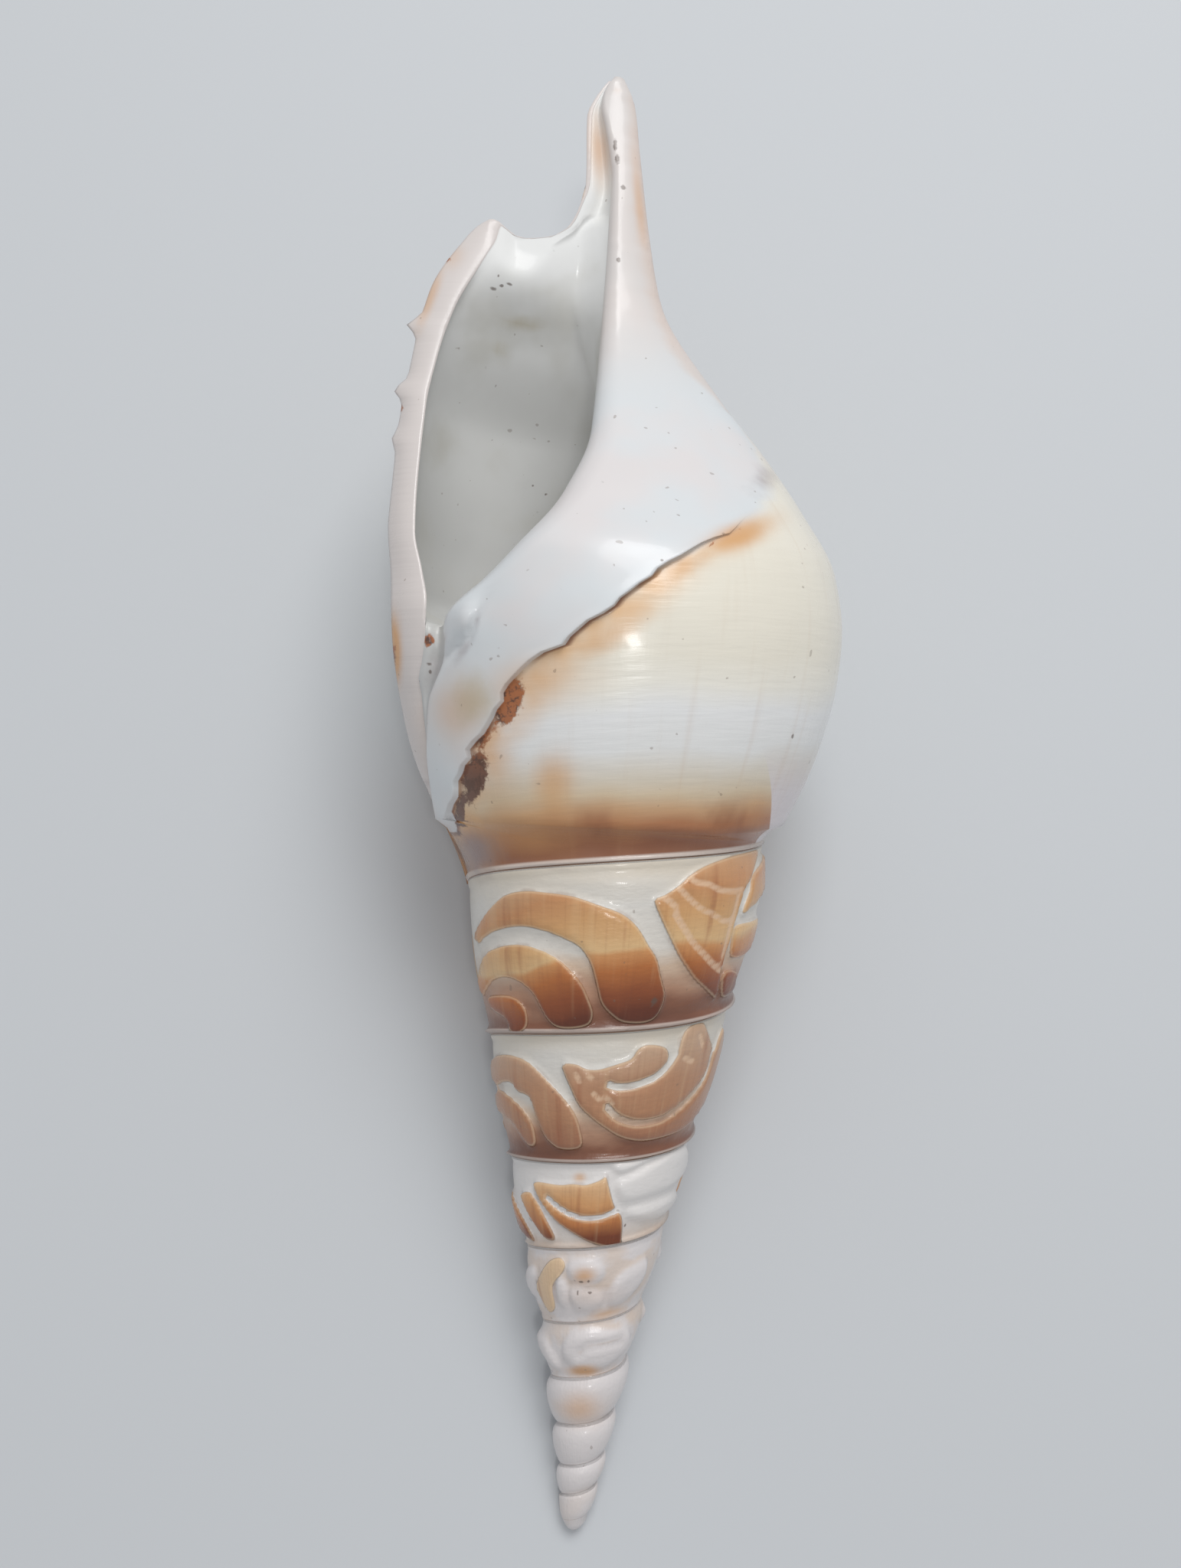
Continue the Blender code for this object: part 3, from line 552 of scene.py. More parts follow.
seam_height = smooth_line(SEAM_HEIGHTS)
spire_mean_radius = smooth_line(SPIRE_RADII)
spire_middle_x = smooth_line(SPIRE_MIDDLE_X)
flat_profile = smooth_line(FLAT_PROFILE)
round_profile = smooth_line(ROUND_PROFILE)
right_side = smooth_line(RIGHT_SIDE)
left_side = smooth_line(LEFT_SIDE)
front_left_side = smooth_line(FRONT_LEFT_SIDE)
front_height = smooth_line(FRONT_HEIGHT)
back_depth = smooth_line(BACK_DEPTH)
columella_x = smooth_line(COLUMELLA_X)
lip_inner_x = smooth_line(LIP_INNER_X)
lip_inner_z = smooth_line(LIP_INNER_Z)
callus_edge_x = smooth_line(CALLUS_EDGE_X)
groove_depth = smooth_line(GROOVE_DEPTH)
hollow_share = smooth_line(HOLLOW_SHARE)
undercut = smooth_line(UNDERCUT)
columella_rounding = smooth_line(COLUMELLA_ROUNDING)
bay_sag = smooth_line(BAY_SAG)
bay_share = smooth_line(BAY_SHARE)


def spire_radius(height):
    """The mean radius times the square root of 1 − below², which rounds the apex off."""
    below = np.clip(1 - height / APEX_HEIGHT, 0.0, 1.0)
    return spire_mean_radius(height) * np.sqrt(1 - below**2)


def whorl_swell(height, share):
    """The swelling profile towards the apex, weaker at its end, and the flat-sided one further on."""
    flat = eased(*ROUND_TO_FLAT, height)
    small = SWELL_AT_APEX + (1 - SWELL_AT_APEX) * eased(0.0, FULL_SWELL_HEIGHT, height)
    return flat_profile(share) * flat + round_profile(share) * (1 - flat) * small


def spire_skin(turns, share, carved):
    """A helical strip: the height runs from the seam at turns to the seam one turn on, the radius is the
    cone's plus the whorl's profile minus the carved depth, and the angle falls by 360° a turn."""
    low, high = seam_height(turns), seam_height(turns + 1)
    height = low + (high - low) * share
    mean = spire_radius(height)
    last = eased(LAST_SWELL_FROM, LAST_SEAM_START, turns)
    radius = mean + whorl_swell(height, share) + last * LAST_SWELL * share**LAST_SWELL_CURVE
    first = LAST_SEAM_START - TURNS
    grown = eased(first, first + GROWN_AFTER, turns)
    radius = mean + (radius - mean) * grown - carved
    angle = math.pi - 2 * math.pi * turns
    across = spire_middle_x(height) + radius * np.cos(angle)
    return np.stack([across, height, radius * np.sin(angle)], -1)


def middle_and_half_width(height):
    """The middle and the half width of the last whorl between its two silhouettes."""
    right, left = right_side(height), left_side(height)
    return (right + left) / 2, (right - left) / 2


def front_angle(across, height):
    """The angle on the front of the skin at a place across: the arccos of its share of the half width."""
    middle, half = middle_and_half_width(height)
    return np.arccos(np.clip((across - middle) / half, -SIDE_LIMIT, SIDE_LIMIT))


def skin_columns(levels):
    """Angles of the skin's columns at each level: over the callus, down its ledge, round to the left side.
    Also how far each column is on the callus: 1 on it, falling to 0 down the ledge."""
    start = front_angle(columella_x(levels), levels)[:, None]
    rags = sum(reach * np.sin(2 * math.pi * levels / wave) for wave, reach in CALLUS_RAGS)
    edge = np.minimum(front_angle(callus_edge_x(levels) + rags, levels)[:, None], start - LEAST_CALLUS)
    half = middle_and_half_width(levels)[1][:, None]
    foot = edge - LEDGE_WIDTH / np.maximum(half, LEDGE_LEAST_HALF)
    on_callus = np.linspace(0, 1, CALLUS_STEPS + 1) ** CALLUS_CROWDING
    on_ledge = np.linspace(0, 1, LEDGE_STEPS + 1)[1:]
    on_whorl = np.linspace(0, 1, STEPS_PER_TURN - CALLUS_STEPS - LEDGE_STEPS + 1)[1:]
    angles = [start + (edge - start) * on_callus, edge + (foot - edge) * on_ledge]
    angles.append(foot + (-math.pi - foot) * on_whorl)
    cover = np.concatenate([np.ones(CALLUS_STEPS + 1), 1 - on_ledge, np.zeros(len(on_whorl))])
    return np.concatenate(angles, 1), cover


def lifted(levels, angles):
    """Heights of the columns: near the seam they are lifted at the back, to stay above it."""
    turns = (math.pi - angles) / (2 * math.pi)
    above = seam_height(turns) + LIFT_ABOVE_SEAM - FIRST_LEVEL
    near_lip = 1 - LIFT_LOST_AT_LIP * eased(*LIP_TURNS, turns)
    fade = 1 - eased(FIRST_LEVEL, LIFT_ENDS_AT, levels)
    return levels[:, None] + np.maximum(above, 0.0) * near_lip * fade[:, None]


def callus_relief(across, height):
    """The knob, a bell in both directions, less the furrow, a bell of the distance from its line that
    fades towards its upper end."""
    places, half_widths = KNOB_PLACE, KNOB_HALF_WIDTHS
    knob = bell(across, places[0], half_widths[0]) * bell(height, places[1], half_widths[1])
    away = np.full(np.shape(across), FAR)
    for start, end in zip(np.array(FURROW), np.array(FURROW)[1:]):
        place = np.stack([across, height], -1) - start
        along = np.clip(place @ (end - start) / np.sum((end - start) ** 2), 0.0, 1.0)
        away = np.minimum(away, np.linalg.norm(place - along[..., None] * (end - start), axis=-1))
    fade = 1 - FURROW_FADE * eased(FURROW[0][1], FURROW[-1][1], height)
    return KNOB_HEIGHT * knob - FURROW_DEPTH * fade * bell(away, 0.0, FURROW_HALF_WIDTH)


def last_skin(levels, thickness=CALLUS_THICKNESS):
    """The last whorl's skin: the back is half an ellipse and the front half of one that ends at the front's
    own left side, plus the callus, less a quarter circle that rounds the columella's edge over."""
    angles, cover = skin_columns(levels)
    heights = lifted(levels, angles)
    middle, half = middle_and_half_width(heights)
    depth = np.where(np.sin(angles) > 0, front_height(heights), back_depth(heights))
    bare = middle + half * np.cos(angles)
    to_edge = np.abs(bare - bare[:, CALLUS_STEPS : CALLUS_STEPS + 1])
    swell = 1 + LEDGE_SWELL * bell(to_edge, 0.0, LEDGE_SWELL_WIDTH)
    fade = 1 - eased(*CALLUS_FADE, levels)
    thick = thickness * swell * fade[:, None] * np.sin(0.5 * math.pi * cover)
    across = middle + (half + thick) * np.cos(angles)
    right, left = right_side(heights), front_left_side(heights)
    share = (2 * bare - right - left) / (right - left)
    in_front = np.sin(angles) > 0
    rise = np.where(in_front, np.sqrt(np.clip(1 - share**2, 0.0, 1.0)), np.sin(angles))
    up = (depth + thick) * rise + callus_relief(across, heights) * in_front
    rounding = columella_rounding(levels)[:, None]
    away = np.hypot(across - across[:, :1], up - up[:, :1])
    short = 1 - np.minimum(away / rounding, 1.0)
    up = up - rounding * (1 - np.sqrt(1 - short**2))
    return np.stack([across, heights, up], -1)


def tooth_reach(height):
    """How far the teeth stand out of the lip: a bell for each tooth."""
    return sum(reach * bell(height, at, half) for at, reach, half in LIP_TEETH)


def spline_weights(controls, count):
    """The weights that carry a Catmull-Rom curve through a row of control points. Its count points lie
    closer towards the end, as the sine of their place."""
    at = (controls - 1) * np.sin(0.5 * math.pi * np.linspace(0, 1, count))
    i = np.minimum(at.astype(int), controls - 2)
    s = at - i
    basis = np.stack([
        -0.5 * s + s**2 - 0.5 * s**3,
        1 - 2.5 * s**2 + 1.5 * s**3,
        0.5 * s + 2 * s**2 - 1.5 * s**3,
        -0.5 * s**2 + 0.5 * s**3,
    ], -1)
    weights = np.zeros((count, controls))
    for k in range(4):
        np.add.at(weights, (np.arange(count), np.clip(i + k - 1, 0, controls - 1)), basis[:, k])
    return weights


def mouth_lines(levels, columella, height):
    """The rim, a curve from the outer edge over its crown to the inner margin, and the hollow from there:
    down the wall, under the whorl and up the columella. Towards both ends it turns into a groove."""
    inner = np.stack([lip_inner_x(levels), height, lip_inner_z(levels)], -1)
    outer = np.stack([left_side(levels) - tooth_reach(levels), height, LIP_OUTER_SHARE * inner[:, 2]], -1)
    crown = (inner + outer) / 2
    crown[:, 2] += CROWN_UP * np.minimum(1.0, inner[:, 2] / CROWN_FULL)
    crown[:, 0] -= CROWN_OUT
    s = np.linspace(0, 1, RIM_STEPS)[:, None]
    corner = 2 * crown - (inner + outer) / 2
    rim = outer[:, None] * (1 - s) ** 2 + corner[:, None] * 2 * s * (1 - s) + inner[:, None] * s**2

    s = np.linspace(0, 1, HOLLOW_CONTROLS + SEPTUM_CONTROLS + 1)
    width = np.abs(inner[:, 0] - columella[:, 0])
    sink = np.minimum(groove_depth(levels), GROOVE_LEAST + GROOVE_PER_WIDTH * width)
    groove = inner[:, None] + (columella - inner)[:, None] * s[:, None]
    groove[..., 2] -= sink[:, None] * np.sin(math.pi * s**GROOVE_LEAN)

    middle, half = middle_and_half_width(levels)
    reach = (columella[:, 0] + undercut(levels) - middle) / half
    deep_angle = -np.arccos(np.clip(reach, -UNDERCUT_LIMIT, UNDERCUT_LIMIT))
    s = np.linspace(0, 1, HOLLOW_CONTROLS)
    wall_angles = -math.pi + (deep_angle + math.pi)[:, None] * s
    side = np.maximum(half - WALL, LEAST_HOLLOW * half)[:, None]
    depth = np.maximum(back_depth(levels) - WALL, LEAST_HOLLOW * back_depth(levels))[:, None]
    across = middle[:, None] + side * np.cos(wall_angles)
    wall = np.stack([across, height[:, None] + 0 * across, depth * np.sin(wall_angles)], -1)
    deep = wall[:, -1]
    bend = np.stack([columella[:, 0] + SEPTUM_BEND, height, SEPTUM_BEND_DEPTH * deep[:, 2]], -1)
    s = np.linspace(0, 1, SEPTUM_CONTROLS + 1)[1:, None]
    septum = deep[:, None] * (1 - s) ** 2 + bend[:, None] * 2 * s * (1 - s) + columella[:, None] * s**2
    hollow = np.concatenate([inner[:, None], wall, septum], 1)
    share = hollow_share(levels)[:, None, None]
    controls = groove * (1 - share) + hollow * share
    fine = np.einsum("fc,lcx->lfx", spline_weights(controls.shape[1], HOLLOW_STEPS), controls)
    return rim, fine[:, 1:-1]


def sagged(points):
    """Lowers the front edge of the lip into its bay, less and less away from the edge, and brings down
    what stands higher than the bay's edge."""
    across, height, up = (points[..., i].copy() for i in range(3))
    along = eased(*BAY_RISE, height) * (1 - eased(*BAY_FALL, height))
    at_edge = eased(*BAY_LOW_FROM, height) * (1 - eased(*BAY_LOW_UNTIL, height)) * bay_share(across)
    up -= at_edge * np.maximum(up - BAY_EDGE_Z, 0.0)
    return np.stack([across, height - bay_sag(across) * along, up], -1)


def level_loops(levels, thickness=CALLUS_THICKNESS):
    """Closed loops round the shell's wall, one for each level: skin, rim, hollow and septum."""
    skin = last_skin(levels, thickness)
    rim, hollow = mouth_lines(levels, skin[:, 0], skin[:, -1, 1])
    return sagged(np.concatenate([skin, rim, hollow], 1))


def spread_evenly(points, count):
    """The same line with count points, spread evenly by number."""
    at = np.linspace(0, len(points) - 1, count)
    return np.stack([np.interp(at, np.arange(len(points)), points[:, i]) for i in range(3)], -1)


def round_axis(loop):
    """Points as three rows: the distance from the coil axis, the angle round it and the height."""
    across, height, up = loop.T
    return np.stack([np.hypot(across, up), np.unwrap(np.arctan2(up, across)), height])


def seam_rings(ground, first):
    """Rings between the seam and the first level, blended in radius, angle and height, with the thread
    that stands on the seam, a bell of the distance from it, and the end of the callus flap."""
    low, high = round_axis(ground), round_axis(first)
    high[1] += 2 * math.pi * np.round((low[1, 0] - high[1, 0]) / (2 * math.pi))
    share = np.linspace(0, 1, SEAM_ROWS + 1)[1:-1, None] ** SEAM_CROWDING
    angle, height = (low[i] + (high[i] - low[i]) * share for i in (1, 2))
    radius = low[0] + (high[0] - low[0]) * share**RING_CURVE
    on_skin = np.arange(len(ground)) <= STEPS_PER_TURN
    away = np.linalg.norm(first - ground, axis=1) * share
    radius += np.where(on_skin, THREAD_HEIGHT * bell(away, THREAD_PLACE, THREAD_HALF_WIDTH), 0.0)
    inside = np.where(on_skin & (np.sin(angle) > 0), FLAP_EDGE_X - radius * np.cos(angle), -FAR)
    on_flap = eased(-FLAP_EDGE_SOFT, FLAP_EDGE_SOFT, inside)
    radius += CALLUS_THICKNESS * on_flap * eased(FLAP_END, FLAP_END + FLAP_RISE, height)
    return np.stack([radius * np.cos(angle), height, radius * np.sin(angle)], -1)


def zip_lines(lower, upper):
    """Triangles between two open lines of vertices with different numbers of points. The steps of both
    lines are sorted by how far along they end, and each makes a triangle with the other line's vertex."""
    lower, upper = np.array(lower), np.array(upper)
    counts = [len(lower) - 1, len(upper) - 1]
    side = np.repeat([0, 1], counts)
    step = np.concatenate([np.arange(count) for count in counts])
    order = np.lexsort((step, side, (step + 1) / np.array(counts)[side]))
    on_lower, step = side[order] == 0, step[order]
    others = np.where(on_lower, np.cumsum(~on_lower), np.cumsum(on_lower))
    low, high = np.where(on_lower, [step, others], [others, step])
    next_low, next_high = np.take(lower, low + 1, mode="clip"), np.take(upper, high + 1, mode="clip")
    return np.stack([lower[low], np.where(on_lower, next_low, next_high), upper[high]], 1)


def fan(point, loop):
    """Triangles from one vertex to each stretch of a closed loop."""
    return np.stack([np.full(len(loop), point), np.roll(loop, -1), loop], 1)


def grid_faces(index):
    """Four-sided faces of a grid of vertex numbers."""
    corners = [index[:-1, :-1], index[1:, :-1], index[1:, 1:], index[:-1, 1:]]
    return np.stack(corners, -1).reshape(-1, 4)


# What the finish reads at each vertex, with its value where a part doesn't state one: the growth turn, mm
# above the seam, the share of a spire whorl's width, 1 on the spire, mm inside the standing layer, the
# white shapes, the scratched lines and the callus, 1 in the mouth, and the place across the rim, 0 to 1
ATTRIBUTES = {
    "turns": 0.0, "above_seam": 0.0, "share": 0.5, "spire": 0.0, "standing": FAR, "white": -FAR,
    "incised": -FAR, "on_callus": -FAR, "in_mouth": 0.0, "across_rim": -1.0,
}


class Surface:
    """Vertices with their attributes, and faces, gathered part by part."""

    def __init__(self):
        self.points = []
        self.values = {name: [] for name in ATTRIBUTES}
        self.count = 0
        self.quads = []
        self.triangles = []

    def add(self, points, **values):
        """Adds an array of points with their attributes and returns their numbers in the same layout."""
        flat = points.reshape(-1, 3)
        index = np.arange(self.count, self.count + len(flat)).reshape(points.shape[:-1])
        self.points.append(flat)
        self.count += len(flat)
        for name, plain in ATTRIBUTES.items():
            value = np.broadcast_to(values.get(name, plain), points.shape[:-1])
            self.values[name].append(value.ravel())
        return index


def smooth_curve(points, closed):
    """A Catmull-Rom curve through the points, with OUTLINE_STEPS steps between each two."""
    points = np.array(points, float)
    count = len(points) if closed else len(points) - 1
    at = np.arange(count * OUTLINE_STEPS + (not closed)) / OUTLINE_STEPS
    i = np.minimum(at.astype(int), count - 1)
    s = (at - i)[:, None]
    last = len(points) - 1
    before, start, end, after = (
        points[(i + k) % len(points) if closed else np.clip(i + k, 0, last)] for k in (-1, 0, 1, 2)
    )
    return 0.5 * (
        2 * start + (end - before) * s + (2 * before - 5 * start + 4 * end - after) * s**2
        + (3 * start - before - 3 * end + after) * s**3
    )


def camera_axes():
    """The photo camera's right, up and ahead in the shell's frame: pitched about X, then rolled."""
    pitch, roll = math.radians(CAMERA_PITCH_DEG), math.radians(CAMERA_ROLL_DEG)
    ahead = np.array([0.0, math.sin(pitch), -math.cos(pitch)])
    plain_up = np.array([0.0, math.cos(pitch), math.sin(pitch)])
    plain_right = np.array([1.0, 0.0, 0.0])
    right = math.cos(roll) * plain_right + math.sin(roll) * plain_up
    up = math.cos(roll) * plain_up - math.sin(roll) * plain_right
    return right, up, ahead


def on_spire(pixels):
    """Where the rays through these pixels of the photo meet the spire's cone, as the angle round it and
    the height. The meeting point is found by halving between the camera and the ray's nearest approach."""
    right, up, ahead = camera_axes()
    across = (pixels[:, :1] - PHOTO_WIDTH / 2) * right
    rays = ahead * FOCAL_PX + across + (PHOTO_HEIGHT / 2 - pixels[:, 1:]) * up
    flat = rays[:, [0, 2]]
    near = -(flat @ CAMERA_SPOT[[0, 2]]) / np.sum(flat**2, 1)
    outside, inside = 0.5 * near, near
    for _ in range(HALVINGS):
        half = (outside + inside) / 2
        spot = CAMERA_SPOT + rays * half[:, None]
        beyond = np.hypot(spot[:, 0] - spire_middle_x(spot[:, 1]), spot[:, 2]) > spire_radius(spot[:, 1])
        outside, inside = np.where(beyond, half, outside), np.where(beyond, inside, half)
    return np.arctan2(spot[:, 2], spot[:, 0] - spire_middle_x(spot[:, 1])), spot[:, 1]


def photo_place(points):
    """Where points of the shell show in the photo, in its pixels."""
    right, up, ahead = camera_axes()
    away = points - CAMERA_SPOT
    scale = FOCAL_PX / (away @ ahead)
    return np.stack([PHOTO_WIDTH / 2 + away @ right * scale, PHOTO_HEIGHT / 2 - away @ up * scale], -1)


def stained(points, in_mouth):
    """How strong each kind of stain is at each point: the strongest of its bells, each one longer one way
    than the other and turned by its tilt. What faces away from the photo's camera has none."""
    place = photo_place(points)
    values = {}
    for kind, groups in STAINS.items():
        value = np.zeros(len(points))
        for group, spots in groups.items():
            seen = in_mouth if group == "mouth" else (1 - in_mouth) * eased(-1.0, 1.0, points[:, 2])
            for x, y, half_x, half_y, tilt, strength in spots:
                away = place - [x, y]
                c, t = math.cos(math.radians(tilt)), math.sin(math.radians(tilt))
                along, beside = away[:, 0] * c + away[:, 1] * t, away[:, 1] * c - away[:, 0] * t
                spot = strength * bell(along, 0.0, half_x) * bell(beside, 0.0, half_y)
                value = np.maximum(value, spot * seen)
        values[kind] = value
    return values


def nearest_in_photo(points, pixel):
    """The highest point among those that show close to this pixel."""
    place = photo_place(points)
    close = np.flatnonzero(np.hypot(place[:, 0] - pixel[0], place[:, 1] - pixel[1]) < SPECK_SEARCH_PX)
    return close[np.argmax(points[close, 2])]


def whorl_size(turn):
    """The length round a whorl and its width, in front, where the carving was read."""
    front = 0.25 - turn
    low, high = seam_height(front), seam_height(front + 1)
    return 2 * math.pi * spire_radius((low + high) / 2), high - low


def on_whorl(pixels, turn):
    """Pixels of the photo as places on a whorl laid out flat: mm round it and mm above its seam."""
    angle, height = on_spire(np.array(pixels, float))
    turns = (math.pi - angle) / (2 * math.pi) - turn
    low, high = seam_height(turns), seam_height(turns + 1)
    around, width = whorl_size(turn)
    return np.stack([(turns + turn) * around, (height - low) / (high - low) * width], -1)


def distance_to(curve, places, closed):
    """The distance from each place to the curve's nearest stretch, less than 0 inside a closed one."""
    start = curve if closed else curve[:-1]
    end = np.roll(curve, -1, 0) if closed else curve[1:]
    along = end - start
    away = places[:, None] - start
    s = np.clip(np.sum(away * along, -1) / np.maximum(np.sum(along**2, -1), 1e-9), 0, 1)
    distance = np.sqrt(np.sum((away - along * s[..., None]) ** 2, -1).min(1))
    if not closed:
        return distance
    crosses = (start[:, 1] > places[:, None, 1]) != (end[:, 1] > places[:, None, 1])
    rise = np.where(along[:, 1] == 0, 1e-9, along[:, 1])
    at = start[:, 0] + (places[:, None, 1] - start[:, 1]) / rise * along[:, 0]
    inside = np.sum(crosses & (places[:, None, 0] < at), 1) % 2 == 1
    return np.where(inside, -distance, distance)


def inside_distance(curves, places, closed):
    """How far each place is inside the nearest of these (curve, half width) shapes; less than 0 outside."""
    inside = np.full(len(places), -FAR)
    for curve, half_width in curves:
        close = np.all((places > curve.min(0) - 1) & (places < curve.max(0) + 1), 1)
        distance = half_width - distance_to(curve, places[close], closed)
        inside[close] = np.maximum(inside[close], distance)
    return inside


def carving_at(turns, share):
    """Distances in mm inside what the carver left standing, brown or white, and inside the fine lines that
    were only scratched in. On the ground they are less than 0."""
    turns, share = np.broadcast_arrays(turns, share)
    standing, white, incised = (np.full(turns.shape, -FAR) for _ in range(3))
    for whorl in CARVING:
        turn = whorl["turn"]
        here = (turns + turn > LAST_SEAM_START) & (turns + turn <= 1 + LAST_SEAM_START)
        if not here.any():
            continue
        around, width = whorl_size(turn)
        places = np.stack([(turns[here] + turn) * around, share[here] * width], -1)
        for repeat in REPEATS:
            shift = [repeat * around, 0.0]
            brown_shapes, white_shapes = (
                [(smooth_curve(on_whorl(shape, turn) + shift, True), 0.0) for shape in whorl.get(kind, [])]
                for kind in ("standing", "white")
            )
            cuts, scratches = (
                [(smooth_curve(on_whorl(line, turn) + shift, False), w) for w, line in whorl.get(kind, [])]
                for kind in ("lines", "incised")
            )
            uncut = -inside_distance(cuts, places, False)
            brown = np.minimum(inside_distance(brown_shapes, places, True), uncut)
            pale = np.minimum(inside_distance(white_shapes, places, True), uncut)
            standing[here] = np.maximum(standing[here], brown)
            white[here] = np.maximum(white[here], pale)
            incised[here] = np.maximum(incised[here], inside_distance(scratches, places, False))
    return {"standing": standing, "white": white, "incised": incised}


def carved_depth(turns, share, carving):
    """How deep the ground lies under the layer that was left standing, with a short slope between, plus
    the shallow grooves of the fine lines, less the swell of the white shapes."""
    turn = -turns
    carved = eased(*CARVED_FROM, turn + LAST_SEAM_START) * (1 - eased(*CARVED_UNTIL, turn))
    clear = eased(*CLEAR_BELOW, share) * (1 - eased(*CLEAR_ABOVE, share))
    depth = CARVED_DEPTH * (1 - SHALLOWER * eased(*SHALLOWER_FROM, turn))
    ground = 1 - eased(-CARVED_SLOPE, CARVED_SLOPE, carving["standing"])
    grooves = INCISED_DEPTH * eased(-INCISED_SLOPE, INCISED_SLOPE, carving["incised"]) * (1 - ground)
    swell = WHITE_SWELL * eased(-WHITE_SLOPE, WHITE_SLOPE, carving["white"]) * ground
    return carved * clear * (depth * ground + grooves - swell)


def add_spire(surface):
    """The spire as one strip, each turn joined to the one before along the seam, and closed at the apex by
    rings on the cone. It returns the vertex numbers of the last seam and of the strip's end."""
    n = STEPS_PER_TURN
    start = LAST_SEAM_START - TURNS
    turns = start + np.arange(TURNS * n + 1) / n
    low = spire_skin(turns, 0.0, 0.0)
    top = spire_skin(turns[-n:], 1.0, 0.0)
    grown = np.concatenate([turns, turns[-n:] + 1])
    line = surface.add(np.concatenate([low, top]), turns=grown, share=0.0, standing=-FAR, spire=1.0)
    before = None
    for turn, rows in enumerate(WHORL_ROWS):
        steps = np.arange(turn * n + (turn > 0), (turn + 1) * n + 1)
        share = np.linspace(0, 1, rows + 1)[1:-1]
        share = share - ROW_CROWDING * np.sin(2 * math.pi * share)
        at = turns[steps][:, None]
        carving = carving_at(at, share)
        skin = spire_skin(at, share, carved_depth(at, share, carving))
        above = share * (seam_height(at + 1) - seam_height(at))
        inner = surface.add(skin, turns=at, above_seam=above, share=share, spire=1.0, **carving)
        index = np.concatenate([line[steps][:, None], inner, line[steps + n][:, None]], 1)
        surface.quads.append(grid_faces(index))
        if before is None:
            first_column = index[0]
        else:
            surface.triangles.append(zip_lines(before, index[0])[:, ::-1])
        before = index[-1]
    apex = surface.add(np.array([[0.0, 0.0, 0.0]]), turns=start, spire=1.0, standing=-FAR)[0]
    angle = math.pi - 2 * math.pi * turns[:n]
    height = low[:n, 1] * CAP_SHARES[:, None]
    radius = spire_radius(height)
    rings = np.stack([
        spire_middle_x(height) + radius * np.cos(angle), height, radius * np.sin(angle) + 0 * height
    ], -1)
    cap = surface.add(rings, turns=turns[:n], spire=1.0, standing=-FAR)
    surface.quads.append(grid_faces(np.concatenate([cap, line[None, :n]]))[:, ::-1])
    surface.triangles.append(fan(apex, cap[0]))
    closing = zip_lines([*cap[:, -1], line[n - 1]], [*cap[:, 0], *first_column])
    surface.triangles.append(closing[:, ::-1])
    return line[TURNS * n :], before[::-1]


def last_whorl_values(loops):
    """The attributes of the last whorl's loops. Turns come from the angle round the axis. The distance
    inside the callus is measured from its edge, and from the flap's end on the rings above the seam."""
    rows, columns = loops.shape[:2]
    skin = STEPS_PER_TURN + 1
    angle = np.unwrap(np.arctan2(loops[:, :skin, 2], loops[:, :skin, 0]), axis=1)
    angle += 2 * math.pi * np.round((math.pi - angle[:, :1]) / (2 * math.pi) - LOOPS_START_NEAR)
    turns = np.full((rows, columns), 1.0)
    turns[:, :skin] = (math.pi - angle) / (2 * math.pi)
    above = loops[..., 1] - seam_height(turns)
    callus = np.full((rows, columns), -FAR)
    edge = loops[:, CALLUS_STEPS, :]
    away = np.linalg.norm(loops[:, :skin] - edge[:, None], axis=-1)
    callus[:, :skin] = np.where(np.arange(skin) <= CALLUS_STEPS, away, -away)
    below = loops[:SEAM_ROWS]
    flap = np.minimum(FLAP_EDGE_X - below[..., 0], below[..., 1] - FLAP_END)
    callus[:SEAM_ROWS] = np.where(below[..., 2] > 0, flap, -FAR)
    callus[:SEAM_ROWS, skin:] = -FAR
    mouth = np.zeros((rows, columns))
    mouth[SEAM_ROWS:, skin + RIM_STEPS :] = 1.0
    above[:SEAM_ROWS, skin:] = CLOSING_ABOVE
    rim = np.full((rows, columns), -1.0)
    rim[SEAM_ROWS:, skin : skin + RIM_STEPS] = np.linspace(0, 1, RIM_STEPS)
    return {"turns": turns, "above_seam": above, "on_callus": callus, "in_mouth": mouth, "across_rim": rim}


def add_last_whorl(surface, seam, strip_end):
    """The last whorl with the mouth and the canal, as loops from the seam to the canal's tip."""
    levels = np.concatenate([
        np.linspace(FIRST_LEVEL, BAY_FULL[0], LEVELS_BELOW, endpoint=False),
        np.linspace(*BAY_FULL, LEVELS_AT_BAY, endpoint=False),
        np.linspace(BAY_FULL[1], LAST_LEVEL, LEVELS_ABOVE),
    ])
    loops = level_loops(levels)
    known = np.concatenate(surface.points)
    spread = spread_evenly(known[strip_end], loops.shape[1] - len(seam) + 2)[1:-1]
    ground = np.concatenate([known[seam], spread])
    bare = level_loops(levels[:1], 0.0)[0]
    loops = np.concatenate([seam_rings(ground, bare), loops])
    index = surface.add(loops, **last_whorl_values(loops))
    surface.quads.append(grid_faces(np.concatenate([index, index[:, :1]], 1))[:, ::-1])
    surface.quads.append(grid_faces(np.stack([seam, index[0, : len(seam)]]))[:, ::-1])
    beyond = [*index[0, len(seam) - 1 :], index[0, 0]]
    surface.triangles.append(zip_lines(strip_end, beyond))
    middle = loops[-1].mean(0, keepdims=True) + [0.0, TIP_OUT, 0.0]
    tip = surface.add(middle, on_callus=FAR, above_seam=TIP_ABOVE)[0]
    surface.triangles.append(fan(tip, index[-1])[:, ::-1])


